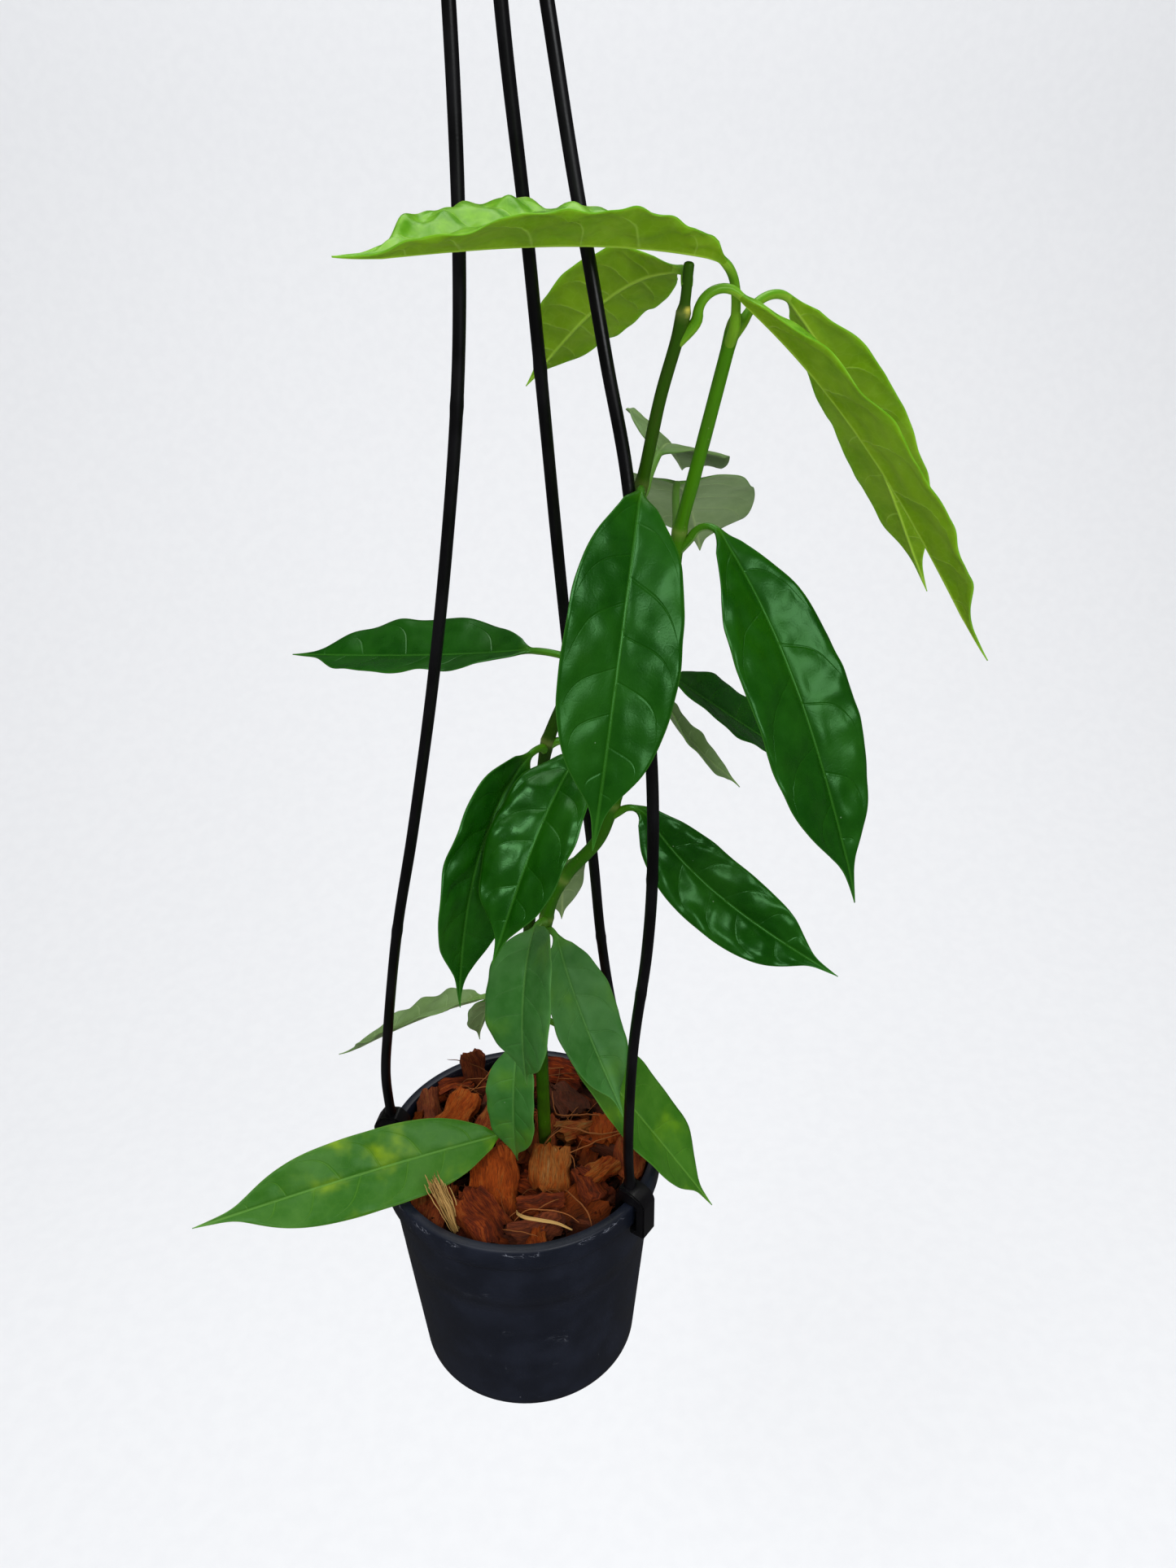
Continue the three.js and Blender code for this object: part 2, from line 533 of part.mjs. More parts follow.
// Points round a section: across the upper face, then back across the lower. The stalk's round
// section opens out into the thin folded and waved one of the blade.
function leafRing(leaf, distance) {
  const { position, side, up } = midrib(leaf, distance);
  const begins = leaf.stalk - leaf.early;
  const x = clamp01((distance - begins) / (leaf.blade + leaf.early));
  const least = x > 0.5 ? BLADE.leastTip : BLADE.leastHalfWidth;
  const middle = Math.max(least, leaf.width / 2 * bladeShape(x, leaf.widest));
  const opened = x > 0.5 ? 1 : clamp01((middle - 0.6) / 3.6);
  const flat = distance < begins ? 0 : opened;
  const fold = rad(leaf.fold);
  const stalkRadius = YOUNG_LEAVES.includes(leaf.name) ? BLADE.youngStalkRadius : BLADE.stalkRadius;
  const point = (face, c) => {
    const half = middle * (c > 0 ? leaf.right : leaf.left);
    const phase = 2 * Math.PI * leaf.waves * x + leaf.bearing + (c > 0 ? BLADE.waveShift : 0);
    const wave = BLADE.wave * Math.abs(c) ** 1.5 * clamp01(half / 8) * Math.sin(phase);
    const bladeAcross = c * half * Math.cos(fold);
    const bladeHeight = half * Math.abs(c) * Math.sin(fold) + wave + face * BLADE.thickness / 2;
    const a = rad(90 - 80 * c);
    const stalkAcross = stalkRadius * Math.cos(a);
    const stalkHeight = face * stalkRadius * Math.sin(a);
    return position.clone()
      .addScaledVector(side, stalkAcross + (bladeAcross - stalkAcross) * flat)
      .addScaledVector(up, stalkHeight + (bladeHeight - stalkHeight) * flat);
  };
  const upper = BLADE.columns.map((c) => point(1, c));
  const lower = BLADE.columns.map((c) => point(-1, c)).reverse();
  return [...upper, ...lower];
}

function leafGeometry(leaf) {
  const rings = [];
  const begins = leaf.stalk - leaf.early;
  for (let i = 0; i < BLADE.stalkStations; i += 1) {
    rings.push(leafRing(leaf, begins * i / BLADE.stalkStations));
  }
  for (let i = 0; i <= BLADE.stations; i += 1) {
    rings.push(leafRing(leaf, begins + (leaf.blade + leaf.early) * i / BLADE.stations));
  }
  return skin(rings);
}

// ---------------------------------------------------------------- assembly
const PLASTIC = { color: 0x15161b, roughness: 0.45, metalness: 0 };
const HUSK = { color: 0x8a4a2a, roughness: 0.95, metalness: 0 };
const GREEN_STEM = { color: 0x5b8a2c, roughness: 0.55, metalness: 0 };
const OLD_LEAF = { color: 0x1f5a24, roughness: 0.35, metalness: 0 };
const YOUNG_LEAF = { color: 0x6f8f22, roughness: 0.45, metalness: 0 };
const YOUNG_LEAVES = ['leaf_19', 'leaf_20', 'leaf_21', 'leaf_22'];

const group = new THREE.Group();
group.name = 'potted_hoya_plant';

function addPart(name, geometry, material) {
  geometry.translate(0, 0, -HOOK_SEAT);
  const mesh = new THREE.Mesh(geometry, new THREE.MeshStandardMaterial(material));
  mesh.name = name;
  group.add(mesh);
}

addPart('pot', potGeometry(), PLASTIC);
addPart('husk_bed', bedGeometry(), HUSK);
addPart('hanger_hook', hookGeometry(), PLASTIC);
for (const strand of STRANDS) addPart(strand.name, strandGeometry(strand), PLASTIC);
for (const stem of [OLD_STEM, YOUNG_STEM]) addPart(stem.name, stemGeometry(stem), GREEN_STEM);
for (const leaf of LEAVES) {
  addPart(leaf.name, leafGeometry(leaf), YOUNG_LEAVES.includes(leaf.name) ? YOUNG_LEAF : OLD_LEAF);
}

export default group;
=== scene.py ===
"""A potted hoya in its small black hanging pot: waved leaves with sunken veins on two climbing
stems, coconut-husk chips and fibres, a moulded pot, and a hanger of three black strands.

The tables give millimetres, with heights above the pot's rim. on_part() moves them to the part's
own frame, which is in metres and starts at the seat of the hook."""
import math
import random

import bmesh
import bpy
import numpy as np
from mathutils import Matrix, Vector, noise


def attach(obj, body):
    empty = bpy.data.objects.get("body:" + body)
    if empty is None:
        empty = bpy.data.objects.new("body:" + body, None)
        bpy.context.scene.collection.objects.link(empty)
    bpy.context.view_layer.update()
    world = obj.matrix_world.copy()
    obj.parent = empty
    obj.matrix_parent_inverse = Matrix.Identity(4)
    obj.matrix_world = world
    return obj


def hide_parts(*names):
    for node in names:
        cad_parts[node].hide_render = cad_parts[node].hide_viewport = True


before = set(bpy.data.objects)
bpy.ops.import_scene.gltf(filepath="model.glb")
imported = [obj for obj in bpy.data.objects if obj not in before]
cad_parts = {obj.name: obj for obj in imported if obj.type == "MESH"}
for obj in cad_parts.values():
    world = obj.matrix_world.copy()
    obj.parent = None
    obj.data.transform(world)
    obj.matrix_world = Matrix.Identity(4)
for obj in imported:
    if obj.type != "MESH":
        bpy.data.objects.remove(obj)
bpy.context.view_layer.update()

# Noise vectors differ from run to run unless their seed is set.
NOISE_SEED = 11
noise.seed_set(NOISE_SEED)

# ------------------------------------------------------------------ driving dimensions
HOOK_SEAT = 490.6
POT_HEIGHT = 88
POT_RIM = 48
POT_LIP_INNER = 44.5
POT_WALL_UNDER_BAND = 46
POT_BASE = 39
POT_WALL = 1.6
POT_FLOOR = 2
POT_BAND = 9
DRAIN_HOLES = 8
DRAIN_RADIUS = 3.5
DRAIN_RING = 27
BED_TOP = -9
HUB_BOTTOM = 438
HUB_TOP = 452
HUB_RADIUS = 9.5
HUB_NECK = 4
HUB_RING = 5
HUB_SOCKET = 2.2
HOOK_CENTRE = 480
HOOK_RADIUS = 13
HOOK_ROD = 2.4
STRAND_RADIUS = 1.7
STRAND_TOP = 444
CLIP_WIDTH = 7
LEAF_GAP = 0.65
STALK_RADIUS = 1.0
YOUNG_STALK_RADIUS = 1.1
BLADE_THICKNESS = 0.8
BLADE_WAVE = 0.55

OLDER_STEM = {
    "name": "stem_older",
    "radii": (2.1, 1.45),
    "slim_tip": (271.5, 276, 1.2),
    "nodes": (62, 155, 181, 230, 272),
    "bud_scar": (46.8, -25.3, 273.4),
    "points": [
        (2, 3, -27), (2, 3, -12), (2, 3, 3), (2, 3, 22), (3, 3, 48), (4, 4, 62), (6, 4, 90),
        (7, 2, 110), (11, -2, 142), (13, -3, 155), (17, -4, 166), (24, -6, 181), (31, -9, 203),
        (38, -13, 230), (42, -18, 253), (46, -24, 272), (47, -25, 283),
    ],
}
YOUNGER_STEM = {
    "name": "stem_younger",
    "radii": (2.2, 1.65),
    "slim_tip": (267, 271, 1.25),
    "nodes": (92, 106, 130, 172, 216, 268),
    "points": [
        (8, 0, -27), (8, 0, -12), (8, 0, 3), (8, 1, 36), (8, 1, 53), (11, 0, 92), (16, 0, 106),
        (28, 1, 120), (32, 2, 130), (38, 1, 150), (42, -1, 172), (47, -4, 194), (49, -7, 216),
        (52, -9.5, 231), (55, -12, 246), (60, -16, 271),
    ],
}

# Each leaf: stem, height on it, bearing, turn of the stalk, swing along the leaf, rise of the stalk,
# lean and droop of the blade, lengths of stalk and blade, width, roll, twist, fold, waves.
LEAF_HABIT = {
    "leaf_01": (OLDER_STEM, 12, 195, 40, 1, -15, 1, 5, 16, 96, 29, 39, 0, 14, 3),
    "leaf_02": (OLDER_STEM, 48, 254, -5, -2, 14, -49, 45, 6, 45, 19, -15, -4, 14, 2),
    "leaf_03": (YOUNGER_STEM, 94, 256, -10, -1, 30, 1, 101, 10, 55, 26, -27, -6, 14, 2),
    "leaf_04": (YOUNGER_STEM, 90, 302, -4, 5, 20, -69, -17, 5, 59, 24, -1, 2, 14, 3),
    "leaf_05": (YOUNGER_STEM, 53, 340, -20, 3, 15, -48, 7, 5, 86, 29, -15, 10, 14, 3),
    "leaf_06": (OLDER_STEM, 61, 155, 19, -2, -4, -29, 11, 15, 71, 22, -7, -1, 14, 5),
    "leaf_07": (OLDER_STEM, 57, 135, 1, 0, 10, -32, 46, 8, 30, 14, 0, 0, 14, 2),
    "leaf_08": (OLDER_STEM, 155, 230, 6, 1, 19, -21, 59, 8, 76, 26, 68, 6, 14, 4),
    "leaf_09": (OLDER_STEM, 156, 239, 108, -13, 13, -22, 37, 13, 62, 26, 4, 1, 14, 4),
    "leaf_10": (OLDER_STEM, 181, 155, -3, -2, 14, -12, -5, 17, 77, 28, 13, 2, 14, 4),
    "leaf_11": (YOUNGER_STEM, 130, 337, -3, 4, 39, -57, -28, 9, 77, 27, -51, -2, 14, 5),
    "leaf_12": (YOUNGER_STEM, 106, 88, -7, 3, 40, -31, 50, 6, 36, 18, 12, 2, 14, 2),
    "leaf_13": (OLDER_STEM, 230, 256, 9, -19, 39, -50, 21, 13, 84, 30, 30, 5, 12, 3),
    "leaf_14": (YOUNGER_STEM, 216, 312, 38, 3, 61, -45, 25, 9, 106, 33, -20, 6, 14, 3),
    "leaf_15": (YOUNGER_STEM, 173, 20, 9, 2, -8, -40, -1, 8, 55, 22, -32, 4, 14, 3),
    "leaf_16": (YOUNGER_STEM, 169, 29, 29, -3, -17, -66, -22, 10, 49, 13, -32, -3, 14, 3),
    "leaf_17": (YOUNGER_STEM, 216, 72, 20, -3, 84, -18, 31, 19, 48, 37, 2, 0, 12, 3),
    "leaf_18": (OLDER_STEM, 230, 73, -17, 4, 55, -1, 26, 14, 63, 32, -21, -9, 14, 3),
    "leaf_19": (YOUNGER_STEM, 270, 200, 59, 0, 96, 11, 14, 21, 84, 34, -4, 11, 24, 4),
    "leaf_20": (OLDER_STEM, 281, 115, -25, 12, 14, -3, 37, 4, 76, 23, -43, 14, 14, 4),
    "leaf_21": (OLDER_STEM, 272, 7, -8, -4, 90, -39, 20, 13, 122, 30, -7, 1, 25, 5),
    "leaf_22": (YOUNGER_STEM, 270, 37, -10, 1, 55, -40, 16, 18, 119, 23, 19, -5, 14, 5),
}
# Side veins on each half, height of the cushions between them in mm, finish of the upper side, and
# how many mm before the end of the stalk the blade begins.
LEAF_FINISH = {
    "leaf_01": (7, 0.30, "leaf_yellowed", 7),
    "leaf_02": (6, 0.25, "leaf_bluish", 3),
    "leaf_03": (6, 0.26, "leaf_bluish", 4),
    "leaf_04": (6, 0.26, "leaf_bluish", 4),
    "leaf_05": (6, 0.28, "leaf_mid", 3),
    "leaf_06": (6, 0.35, "leaf_hazy", 5),
    "leaf_07": (5, 0.20, "leaf_mid", 3),
    "leaf_08": (7, 0.85, "leaf_dark", 4),
    "leaf_09": (6, 0.85, "leaf_dark", 5),
    "leaf_10": (6, 0.35, "leaf_dark", 6),
    "leaf_11": (7, 1.05, "leaf_dark", 7),
    "leaf_12": (5, 0.25, "leaf_hazy", 3),
    "leaf_13": (7, 0.36, "leaf_dark", 8),
    "leaf_14": (6, 0.75, "leaf_dark", 5),
    "leaf_15": (6, 0.30, "leaf_dark", 7),
    "leaf_16": (6, 0.25, "leaf_hazy", 4),
    "leaf_17": (6, 0.35, "leaf_hazy", 4),
    "leaf_18": (6, 0.35, "leaf_hazy", 4),
    "leaf_19": (7, 0.85, "leaf_young", 8),
    "leaf_20": (8, 0.85, "leaf_young", 2),
    "leaf_21": (7, 0.80, "leaf_young", 3),
    "leaf_22": (7, 0.80, "leaf_young", 6),
}
# Shares of the half width to the left and to the right of the midrib, and where the blade is widest
# (below 1 is farther from the stalk), for the blades that aren't even.
EVEN_BLADE = (1.0, 1.0, 1.0)
UNEVEN_BLADES = {
    "leaf_01": (0.93, 0.88, 1.1),
    "leaf_05": (1.0, 1.0, 0.92),
    "leaf_08": (1.0, 0.92, 1.0),
    "leaf_10": (0.88, 1.03, 1.0),
    "leaf_11": (0.84, 0.94, 1.0),
    "leaf_13": (1.0, 1.03, 1.0),
    "leaf_14": (0.86, 1.12, 0.92),
    "leaf_15": (1.0, 1.0, 0.85),
    "leaf_19": (1.0, 1.0, 0.9),
    "leaf_20": (0.98, 1.04, 0.92),
}
UNDERSIDES = {"leaf_young": "underside_young"}
COMMON_UNDERSIDE = "underside_grey"
# Leaves whose halves are crinkled as well as waved, and by how many mm.
CRINKLED = {"leaf_19": 0.75}
# Outline of a blade: share of its length from its base to its drip tip, and of its half width.
BLADE_OUTLINE = [
    (0, 0.0), (0.05, 0.20), (0.12, 0.48), (0.18, 0.70), (0.25, 0.86), (0.32, 0.95), (0.40, 0.99),
    (0.47, 1.0), (0.54, 0.995), (0.62, 0.95), (0.69, 0.86), (0.74, 0.75), (0.78, 0.62), (0.82, 0.45),
    (0.85, 0.31), (0.88, 0.185), (0.91, 0.11), (0.94, 0.07), (0.97, 0.038), (1, 0.008),
]

# Each strand: bearing of its clip, radius at which the rod stands on it, heights of the small
# mould rings on the rod, and the points that the rod passes.
STRANDS = {
    "hanger_strand_left": (165, 47, (89, 250), [
        (-45.4, 10.5, 24), (-42.3, 7, 48), (-35.6, 3.5, 89), (-27.7, 0, 126), (-18.3, -3, 174),
        (-11.5, -3.3, 215), (-6.5, -2.3, 252), (-4.2, -1, 281), (-3.2, 0.2, 320), (-4, 1, 400)]),
    "hanger_strand_back": (34, 46.5, (70, 256), [
        (38, 25.5, 18), (33.7, 22.7, 40), (30, 20, 70), (27.5, 18.5, 103), (22.5, 15, 155),
        (18.5, 12.5, 204), (14.8, 10, 256), (12.2, 8.3, 291), (8.3, 5.6, 335), (5.5, 3.7, 400)]),
    "hanger_strand_front": (-40, 45, (86, 126), [
        (33.8, -28.8, 20), (35, -30, 63), (38.6, -32, 101), (39.8, -32.3, 126), (39.7, -30, 156),
        (37.5, -25.2, 192), (34.1, -17, 235), (29.7, -14, 260), (26.3, -10, 281), (22.4, -8, 304),
        (17.9, -6, 334), (9.5, -4.5, 390)]),
}

# The husk chips that lie on top: x, y, z, length, width, thickness, bearing of the grain, tilt of
# the grain, roll about it, tone from 0 (dark) to 1 (pale), raggedness of the ends.
TOP_CHIPS = [
    (-9.9, -18.5, -2, 25, 18, 8, 84, 38, -6, 0.55, 2.6),
    (9.0, -14.5, 0, 15, 15, 6, 76, 30, 8, 0.80, 0.9),
    (21.1, -21, -2, 12, 11, 7, 120, 20, 14, 0.47, 1.2),
    (26.0, -16.5, 0, 10, 9, 6, 30, 12, -10, 0.66, 1.0),
    (37.0, -11.5, -2, 12, 11, 8, 70, 18, 10, 0.60, 1.2),
    (-14.5, -31, -3, 20, 13, 6, 128, 22, 10, 0.50, 2.0),
    (-31.0, -23, -5, 14, 13, 7, 80, 25, -8, 0.60, 1.6),
    (3.3, -36.5, -5, 17, 9, 5, 12, 4, 30, 0.52, 1.4),
    (18.0, -29.5, -5, 17, 13, 5, 35, 14, 24, 0.22, 1.8),
    (-22.0, 16.5, -1, 17, 13, 7, 62, 14, 12, 0.66, 1.2),
    (-33.5, 21, -3, 16, 9, 7, 100, 12, -18, 0.58, 1.0),
    (5.2, -28, -1, 15, 4.5, 3.5, 8, 3, 10, 0.50, 1.4),
    (19.0, 5, -1, 12, 9, 4, 20, 6, 18, 0.74, 1.0),
    (28.9, 3, -1, 12, 9, 6, 80, 10, -12, 0.58, 1.0),
    (7.7, 3, -2, 13, 10, 6, 70, 25, 0, 0.60, 1.6),
    (-24.5, 31.5, -2, 12, 8, 6, 15, 6, 10, 0.50, 1.0),
    (16.2, 35, -3, 15, 12, 6, 150, 10, -20, 0.40, 2.0),
    (30.7, -2.5, -4, 12, 10, 6, 140, 12, 10, 0.30, 1.0),
    (22.5, -5, -5, 14, 9, 5, 60, 6, 20, 0.25, 1.4),
    (36.0, 3, -2, 12, 8, 5, 20, 10, -8, 0.62, 1.0),
    (-11.7, 8, -2, 16, 9, 6, 75, 22, 14, 0.56, 1.2),
    (0.5, 26, -3, 14, 11, 6, 40, 10, -14, 0.34, 1.4),
    (17.0, 22, -4, 16, 12, 5, 110, 8, 12, 0.26, 1.6),
    (1.0, -19.5, -4, 10, 5, 5, 150, 20, 10, 0.44, 1.6),
    (-6.9, 27, -2, 14, 9, 5, 85, 16, -20, 0.46, 1.4),
    (-19.5, 25, -4, 13, 9, 6, 140, 10, 20, 0.18, 1.2),
    (-13.0, -8, -3, 16, 9, 6, 100, 14, 16, 0.52, 1.4),
    (-25.0, -4, -3, 16, 12, 6, 40, 10, -12, 0.56, 1.4),
]
STANDING_CHIP = (-15.5, 34.5, -2.5, 24, 9.5, 4.5, 92, 76, 8, 0.55, 1.6)

# Loose fibres: radius at the middle, then the points that each passes.
FIBRES = [
    (0.30, [(11.8, 22, 1), (12.4, 8.8, 3), (14.3, 6.3, 4.4), (20.6, 6.3, 4), (27.3, 7.1, 2.6),
            (33, 8, 0)]),
    (0.32, [(9, 3, -1), (12.9, 1.5, 3.6), (18.1, -1.5, 5.2), (26.3, -4.3, 4.6), (34.2, -0.9, 2),
            (38, 2, -1)]),
    (0.24, [(36, -3, 2), (31.6, -4.9, 4.4), (21.6, -9.5, 4.6), (15.9, -10.9, 4), (10, -8.6, 1)]),
    (0.40, [(13.4, 1.4, 4), (9.1, -3.3, 3), (3.4, -12.3, 1.4), (1, -16, -2)]),
    (0.26, [(14.6, 0.8, 4.4), (7.3, -6.1, 3.4), (4.5, -10, 1)]),
    (0.26, [(-39.8, 7.3, 1), (-36.9, 7.6, 3), (-34.5, 6.7, 1.6), (-31, 5, -1)]),
    (0.30, [(13.2, -25, 1), (14.7, -27.6, 2.6), (17.9, -33.3, 3.4), (20.2, -36.8, 1.4), (20.9, -38.0, -2)]),
    (0.24, [(12, -8.8, 2.4), (14.6, -10.2, 3.2), (16.8, -13.5, 3.2), (17.3, -17.6, 0.6)]),
    (0.20, [(-26, 38.5, 5), (-20, 35.5, 6.6), (-14, 33, 5.4), (-8, 31, 1)]),
    (0.18, [(-22, 30, 0), (-18, 28, 4.6), (-11, 27.4, 4.4), (-4, 26, 0)]),
    (0.18, [(-24, 26, 0), (-17, 24.4, 3.2), (-9, 24.8, 3.4), (-3, 29, 1)]),
    (0.20, [(-20, 22, 2), (-13, 26, 5), (-10, 31, 6), (-8.6, 35, 4)]),
    (0.20, [(22, 38, -2), (16, 34, 1.6), (8, 33.6, 2.2), (2, 36, 0)]),
    (0.18, [(26, 34, -2), (17, 31, 1.2), (10, 30, 1.6), (5, 31.6, 0)]),
    (0.20, [(31, -24, -2), (34, -20, 0.6), (34.6, -14, 0.4), (33, -9, -2)]),
    (0.22, [(-4, -33, -3), (0, -31.4, 0.4), (5, -32, 0.8), (12, -33.6, 0.4), (17, -36, -2)]),
    (0.18, [(-20, -17, -1), (-19.4, -22, 1), (-20.6, -27, 0.6), (-22.4, -31, -2)]),
    (0.18, [(-8, -35, -3), (-6, -38, -0.6), (-1, -39.6, -0.4), (4, -40, -3)]),
]
CURLED_STRIP = [
    (-2.6, -29.8, -1.4), (-2.4, -32.6, 0.4), (-0.2, -35.2, 1.4), (4, -37.0, 1.8), (9.8, -38.4, 1.2),
    (14.6, -39.0, -1.6),
]
TUFT_FOOT = (-22.6, -32.0, -6.0)
TUFT_MIDDLE = (-25.6, -29.6, 4.0)
TUFT_TOP = (-28.2, -28.6, 15.0)
TUFT_FIBRES = 64


# ------------------------------------------------------------------ places, lines and meshes
def on_part(points):
    """Millimetres about the rim, to metres about the seat of the hook."""
    return (np.asarray(points, float) - np.array([0.0, 0.0, HOOK_SEAT])) / 1000


def at_height(z):
    """A height above the rim, in metres from the seat of the hook."""
    return (z - HOOK_SEAT) / 1000


def placed(name, data):
    """A new object in the scene."""
    thing = bpy.data.objects.new(name, data)
    bpy.context.scene.collection.objects.link(thing)
    return thing


def smooth_line(points, per_span):
    """Points along a smooth line through the given ones, which doesn't swing out between them."""
    p = np.asarray(points, float)
    p = np.vstack([2 * p[0] - p[1], p, 2 * p[-1] - p[-2]])
    line = []
    for i in range(1, len(p) - 2):
        gaps = [max(1e-4, float(np.linalg.norm(p[i + k] - p[i + k - 1])) ** 0.5) for k in (0, 1, 2)]
        first = (p[i] - p[i - 1]) / gaps[0] - (p[i + 1] - p[i - 1]) / (gaps[0] + gaps[1])
        first = (first + (p[i + 1] - p[i]) / gaps[1]) * gaps[1]
        last = (p[i + 1] - p[i]) / gaps[1] - (p[i + 2] - p[i]) / (gaps[1] + gaps[2])
        last = (last + (p[i + 2] - p[i + 1]) / gaps[2]) * gaps[1]
        for k in range(per_span):
            t = k / per_span
            bend = -3 * p[i] + 3 * p[i + 1] - 2 * first - last
            turn = 2 * p[i] - 2 * p[i + 1] + first + last
            line.append(p[i] + first * t + bend * t * t + turn * t ** 3)
    line.append(p[-2])
    return np.array(line)


def unit(v):
    return v / np.maximum(np.linalg.norm(v, axis=-1, keepdims=True), 1e-9)


def held(x):
    """Numbers held between 0 and 1."""
    return np.clip(x, 0, 1)


def eased(x):
    """A smooth rise from 0 to 1."""
    x = held(x)
    return x * x * (3 - 2 * x)


def bell(distance, reach):
    """A rounded hump of height 1, fading out over a reach."""
    return np.exp(-(distance / reach) ** 2)


def on_circle(radius, angle, z=0.0):
    """A point at a radius and an angle, in radians, about the upright axis."""
    return np.array([radius * math.cos(angle), radius * math.sin(angle), z])


def carried_sides(line, start):
    """Tangents along a line and a side direction carried along it without twisting."""
    tangents = unit(np.gradient(line, axis=0))
    side = np.asarray(start, float)
    sides = []
    for t in tangents:
        side = unit(side - t * float(side @ t))
        sides.append(side)
    sides = np.array(sides)
    return tangents, sides, np.cross(tangents, sides)


# Shares of the radius at the rings that round off an end, and how far an end stands out.
END_ROUNDING = (0.0, 0.55, 0.86)
END_REACH = 0.6


def tube_rings(line, radii, sides, start=(0.2, 1, 0), flatten=1.0):
    """Rings round a line, closed to a rounded end at both ends."""
    tangents, across, over = carried_sides(line, start)
    angles = np.linspace(0, 2 * math.pi, sides, endpoint=False)
    rings = [(0, k, -math.sqrt(1 - k * k)) for k in END_ROUNDING]
    rings += [(i, 1.0, 0.0) for i in range(len(line))]
    rings += [(-1, k, math.sqrt(1 - k * k)) for k in reversed(END_ROUNDING)]
    made = []
    for i, share, reach in rings:
        r = max(share, 0.02) * radii[i]
        ring = line[i] + tangents[i] * radii[i] * reach * END_REACH
        ring = ring + np.outer(np.cos(angles), across[i]) * r
        made.append(ring + np.outer(np.sin(angles), over[i]) * r * flatten)
    return np.array(made)


def skin(rings):
    """Corners and faces of a closed skin over rings that have the same number of points."""
    count, sides = rings.shape[:2]
    faces = []
    for i in range(count - 1):
        for j in range(sides):
            k = (j + 1) % sides
            faces.append((i * sides + j, i * sides + k, (i + 1) * sides + k, (i + 1) * sides + j))
    faces.append(tuple(range(sides - 1, -1, -1)))
    faces.append(tuple((count - 1) * sides + j for j in range(sides)))
    return rings.reshape(-1, 3), faces


def turned(profile, sides):
    """Corners and faces of a closed turned solid, from a profile of (radius, height) pairs."""
    angles = np.linspace(0, 2 * math.pi, sides, endpoint=False)
    rings = []
    for r, z in profile:
        r = max(r, 0.02)
        rings.append(np.column_stack([r * np.cos(angles), r * np.sin(angles), np.full(sides, float(z))]))
    return skin(np.array(rings))


def rounded(profile, radius, steps=4):
    """An outline with its corners rounded, each by as much as its sides allow."""
    p = [np.asarray(q, float) for q in profile]
    made = []
    for i, q in enumerate(p):
        back = p[i - 1] - q
        ahead = p[(i + 1) % len(p)] - q
        cut = min(radius, 0.45 * np.linalg.norm(back), 0.45 * np.linalg.norm(ahead))
        a = q + unit(back) * cut
        b = q + unit(ahead) * cut
        for k in range(steps + 1):
            t = k / steps
            made.append(a * (1 - t) ** 2 + 2 * q * t * (1 - t) + b * t * t)
    return made


def smooth_over(piece, sharp_above=None):
    """Smooth shading, with sharp edges only where faces meet at more than an angle in degrees."""
    piece.data.shade_smooth()
    if sharp_above:
        piece.data.set_sharp_from_angle(angle=math.radians(sharp_above))


def face_outwards(piece):
    """Turns every face of a closed piece to the outside."""
    shape = bmesh.new()
    shape.from_mesh(piece.data)
    bmesh.ops.recalc_face_normals(shape, faces=shape.faces)
    shape.to_mesh(piece.data)
    shape.free()


def piece_from(name, corners, faces, finishes, sharp_above=None, turn_out=True):
    """A closed mesh piece in the part's frame, from corners in millimetres about the rim."""
    mesh = bpy.data.meshes.new(name)
    mesh.from_pydata(on_part(corners).tolist(), [], faces)
    for finish in finishes:
        mesh.materials.append(finish)
    piece = placed(name, mesh)
    smooth_over(piece, sharp_above)
    if turn_out:
        face_outwards(piece)
    return piece

def settle(piece):
    """Leaves a piece with the mesh that its modifiers make, and no modifiers."""
    bpy.context.view_layer.update()
    held_mesh = piece.evaluated_get(bpy.context.evaluated_depsgraph_get())
    made = bpy.data.meshes.new_from_object(held_mesh)
    piece.modifiers.clear()
    piece.data = made


def combine(piece, other, way):
    """Joins another closed piece into this one, or cuts it away, and removes the other."""
    change = piece.modifiers.new(way.lower(), "BOOLEAN")
    change.operation = way
    change.solver = "EXACT"
    change.object = other
    settle(piece)
    bpy.data.objects.remove(other)


def bore(piece, profile, sides, at, finish):
    """Cuts a turned hole, given by its profile, out of a piece."""
    corners, faces = turned(profile, sides)
    cutter = piece_from("cutter", corners + at, faces, [finish], HARD_EDGE)
    combine(piece, cutter, "DIFFERENCE")


def set_values(mesh, name, values):
    layer = mesh.attributes.new(name, "FLOAT", "POINT")
    layer.data.foreach_set("value", np.asarray(values, np.float32).ravel())


def set_map(mesh, name, pairs):
    """A flat map of the surface, given as one pair of numbers for each corner point."""
    layer = mesh.uv_layers.new(name=name)
    corner = np.empty(len(mesh.loops), int)
    mesh.loops.foreach_get("vertex_index", corner)
    layer.data.foreach_set("uv", np.asarray(pairs, np.float32)[corner].ravel())


def put_on(piece, slot, *nodes):
    """Fixes a finished piece to the part and hides the CAD nodes that it stands for. The slot is not used.
    """
    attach(piece, "root")
    if nodes:
        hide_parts(*nodes)


def mapped_tube(line, radii, sides, lengths, wrap, **more):
    """Corners and faces of a tube, with a flat map: its lengths, and how far round it."""
    corners, faces = skin(tube_rings(line, radii, sides, **more))
    ends = len(END_ROUNDING)
    along = np.concatenate([[lengths[0]] * ends, lengths, [lengths[-1]] * ends])
    around = np.abs(np.linspace(-1, 1, sides, endpoint=False)) * wrap
    return corners, faces, np.stack([np.repeat(along, sides), np.tile(around, len(along))], -1)


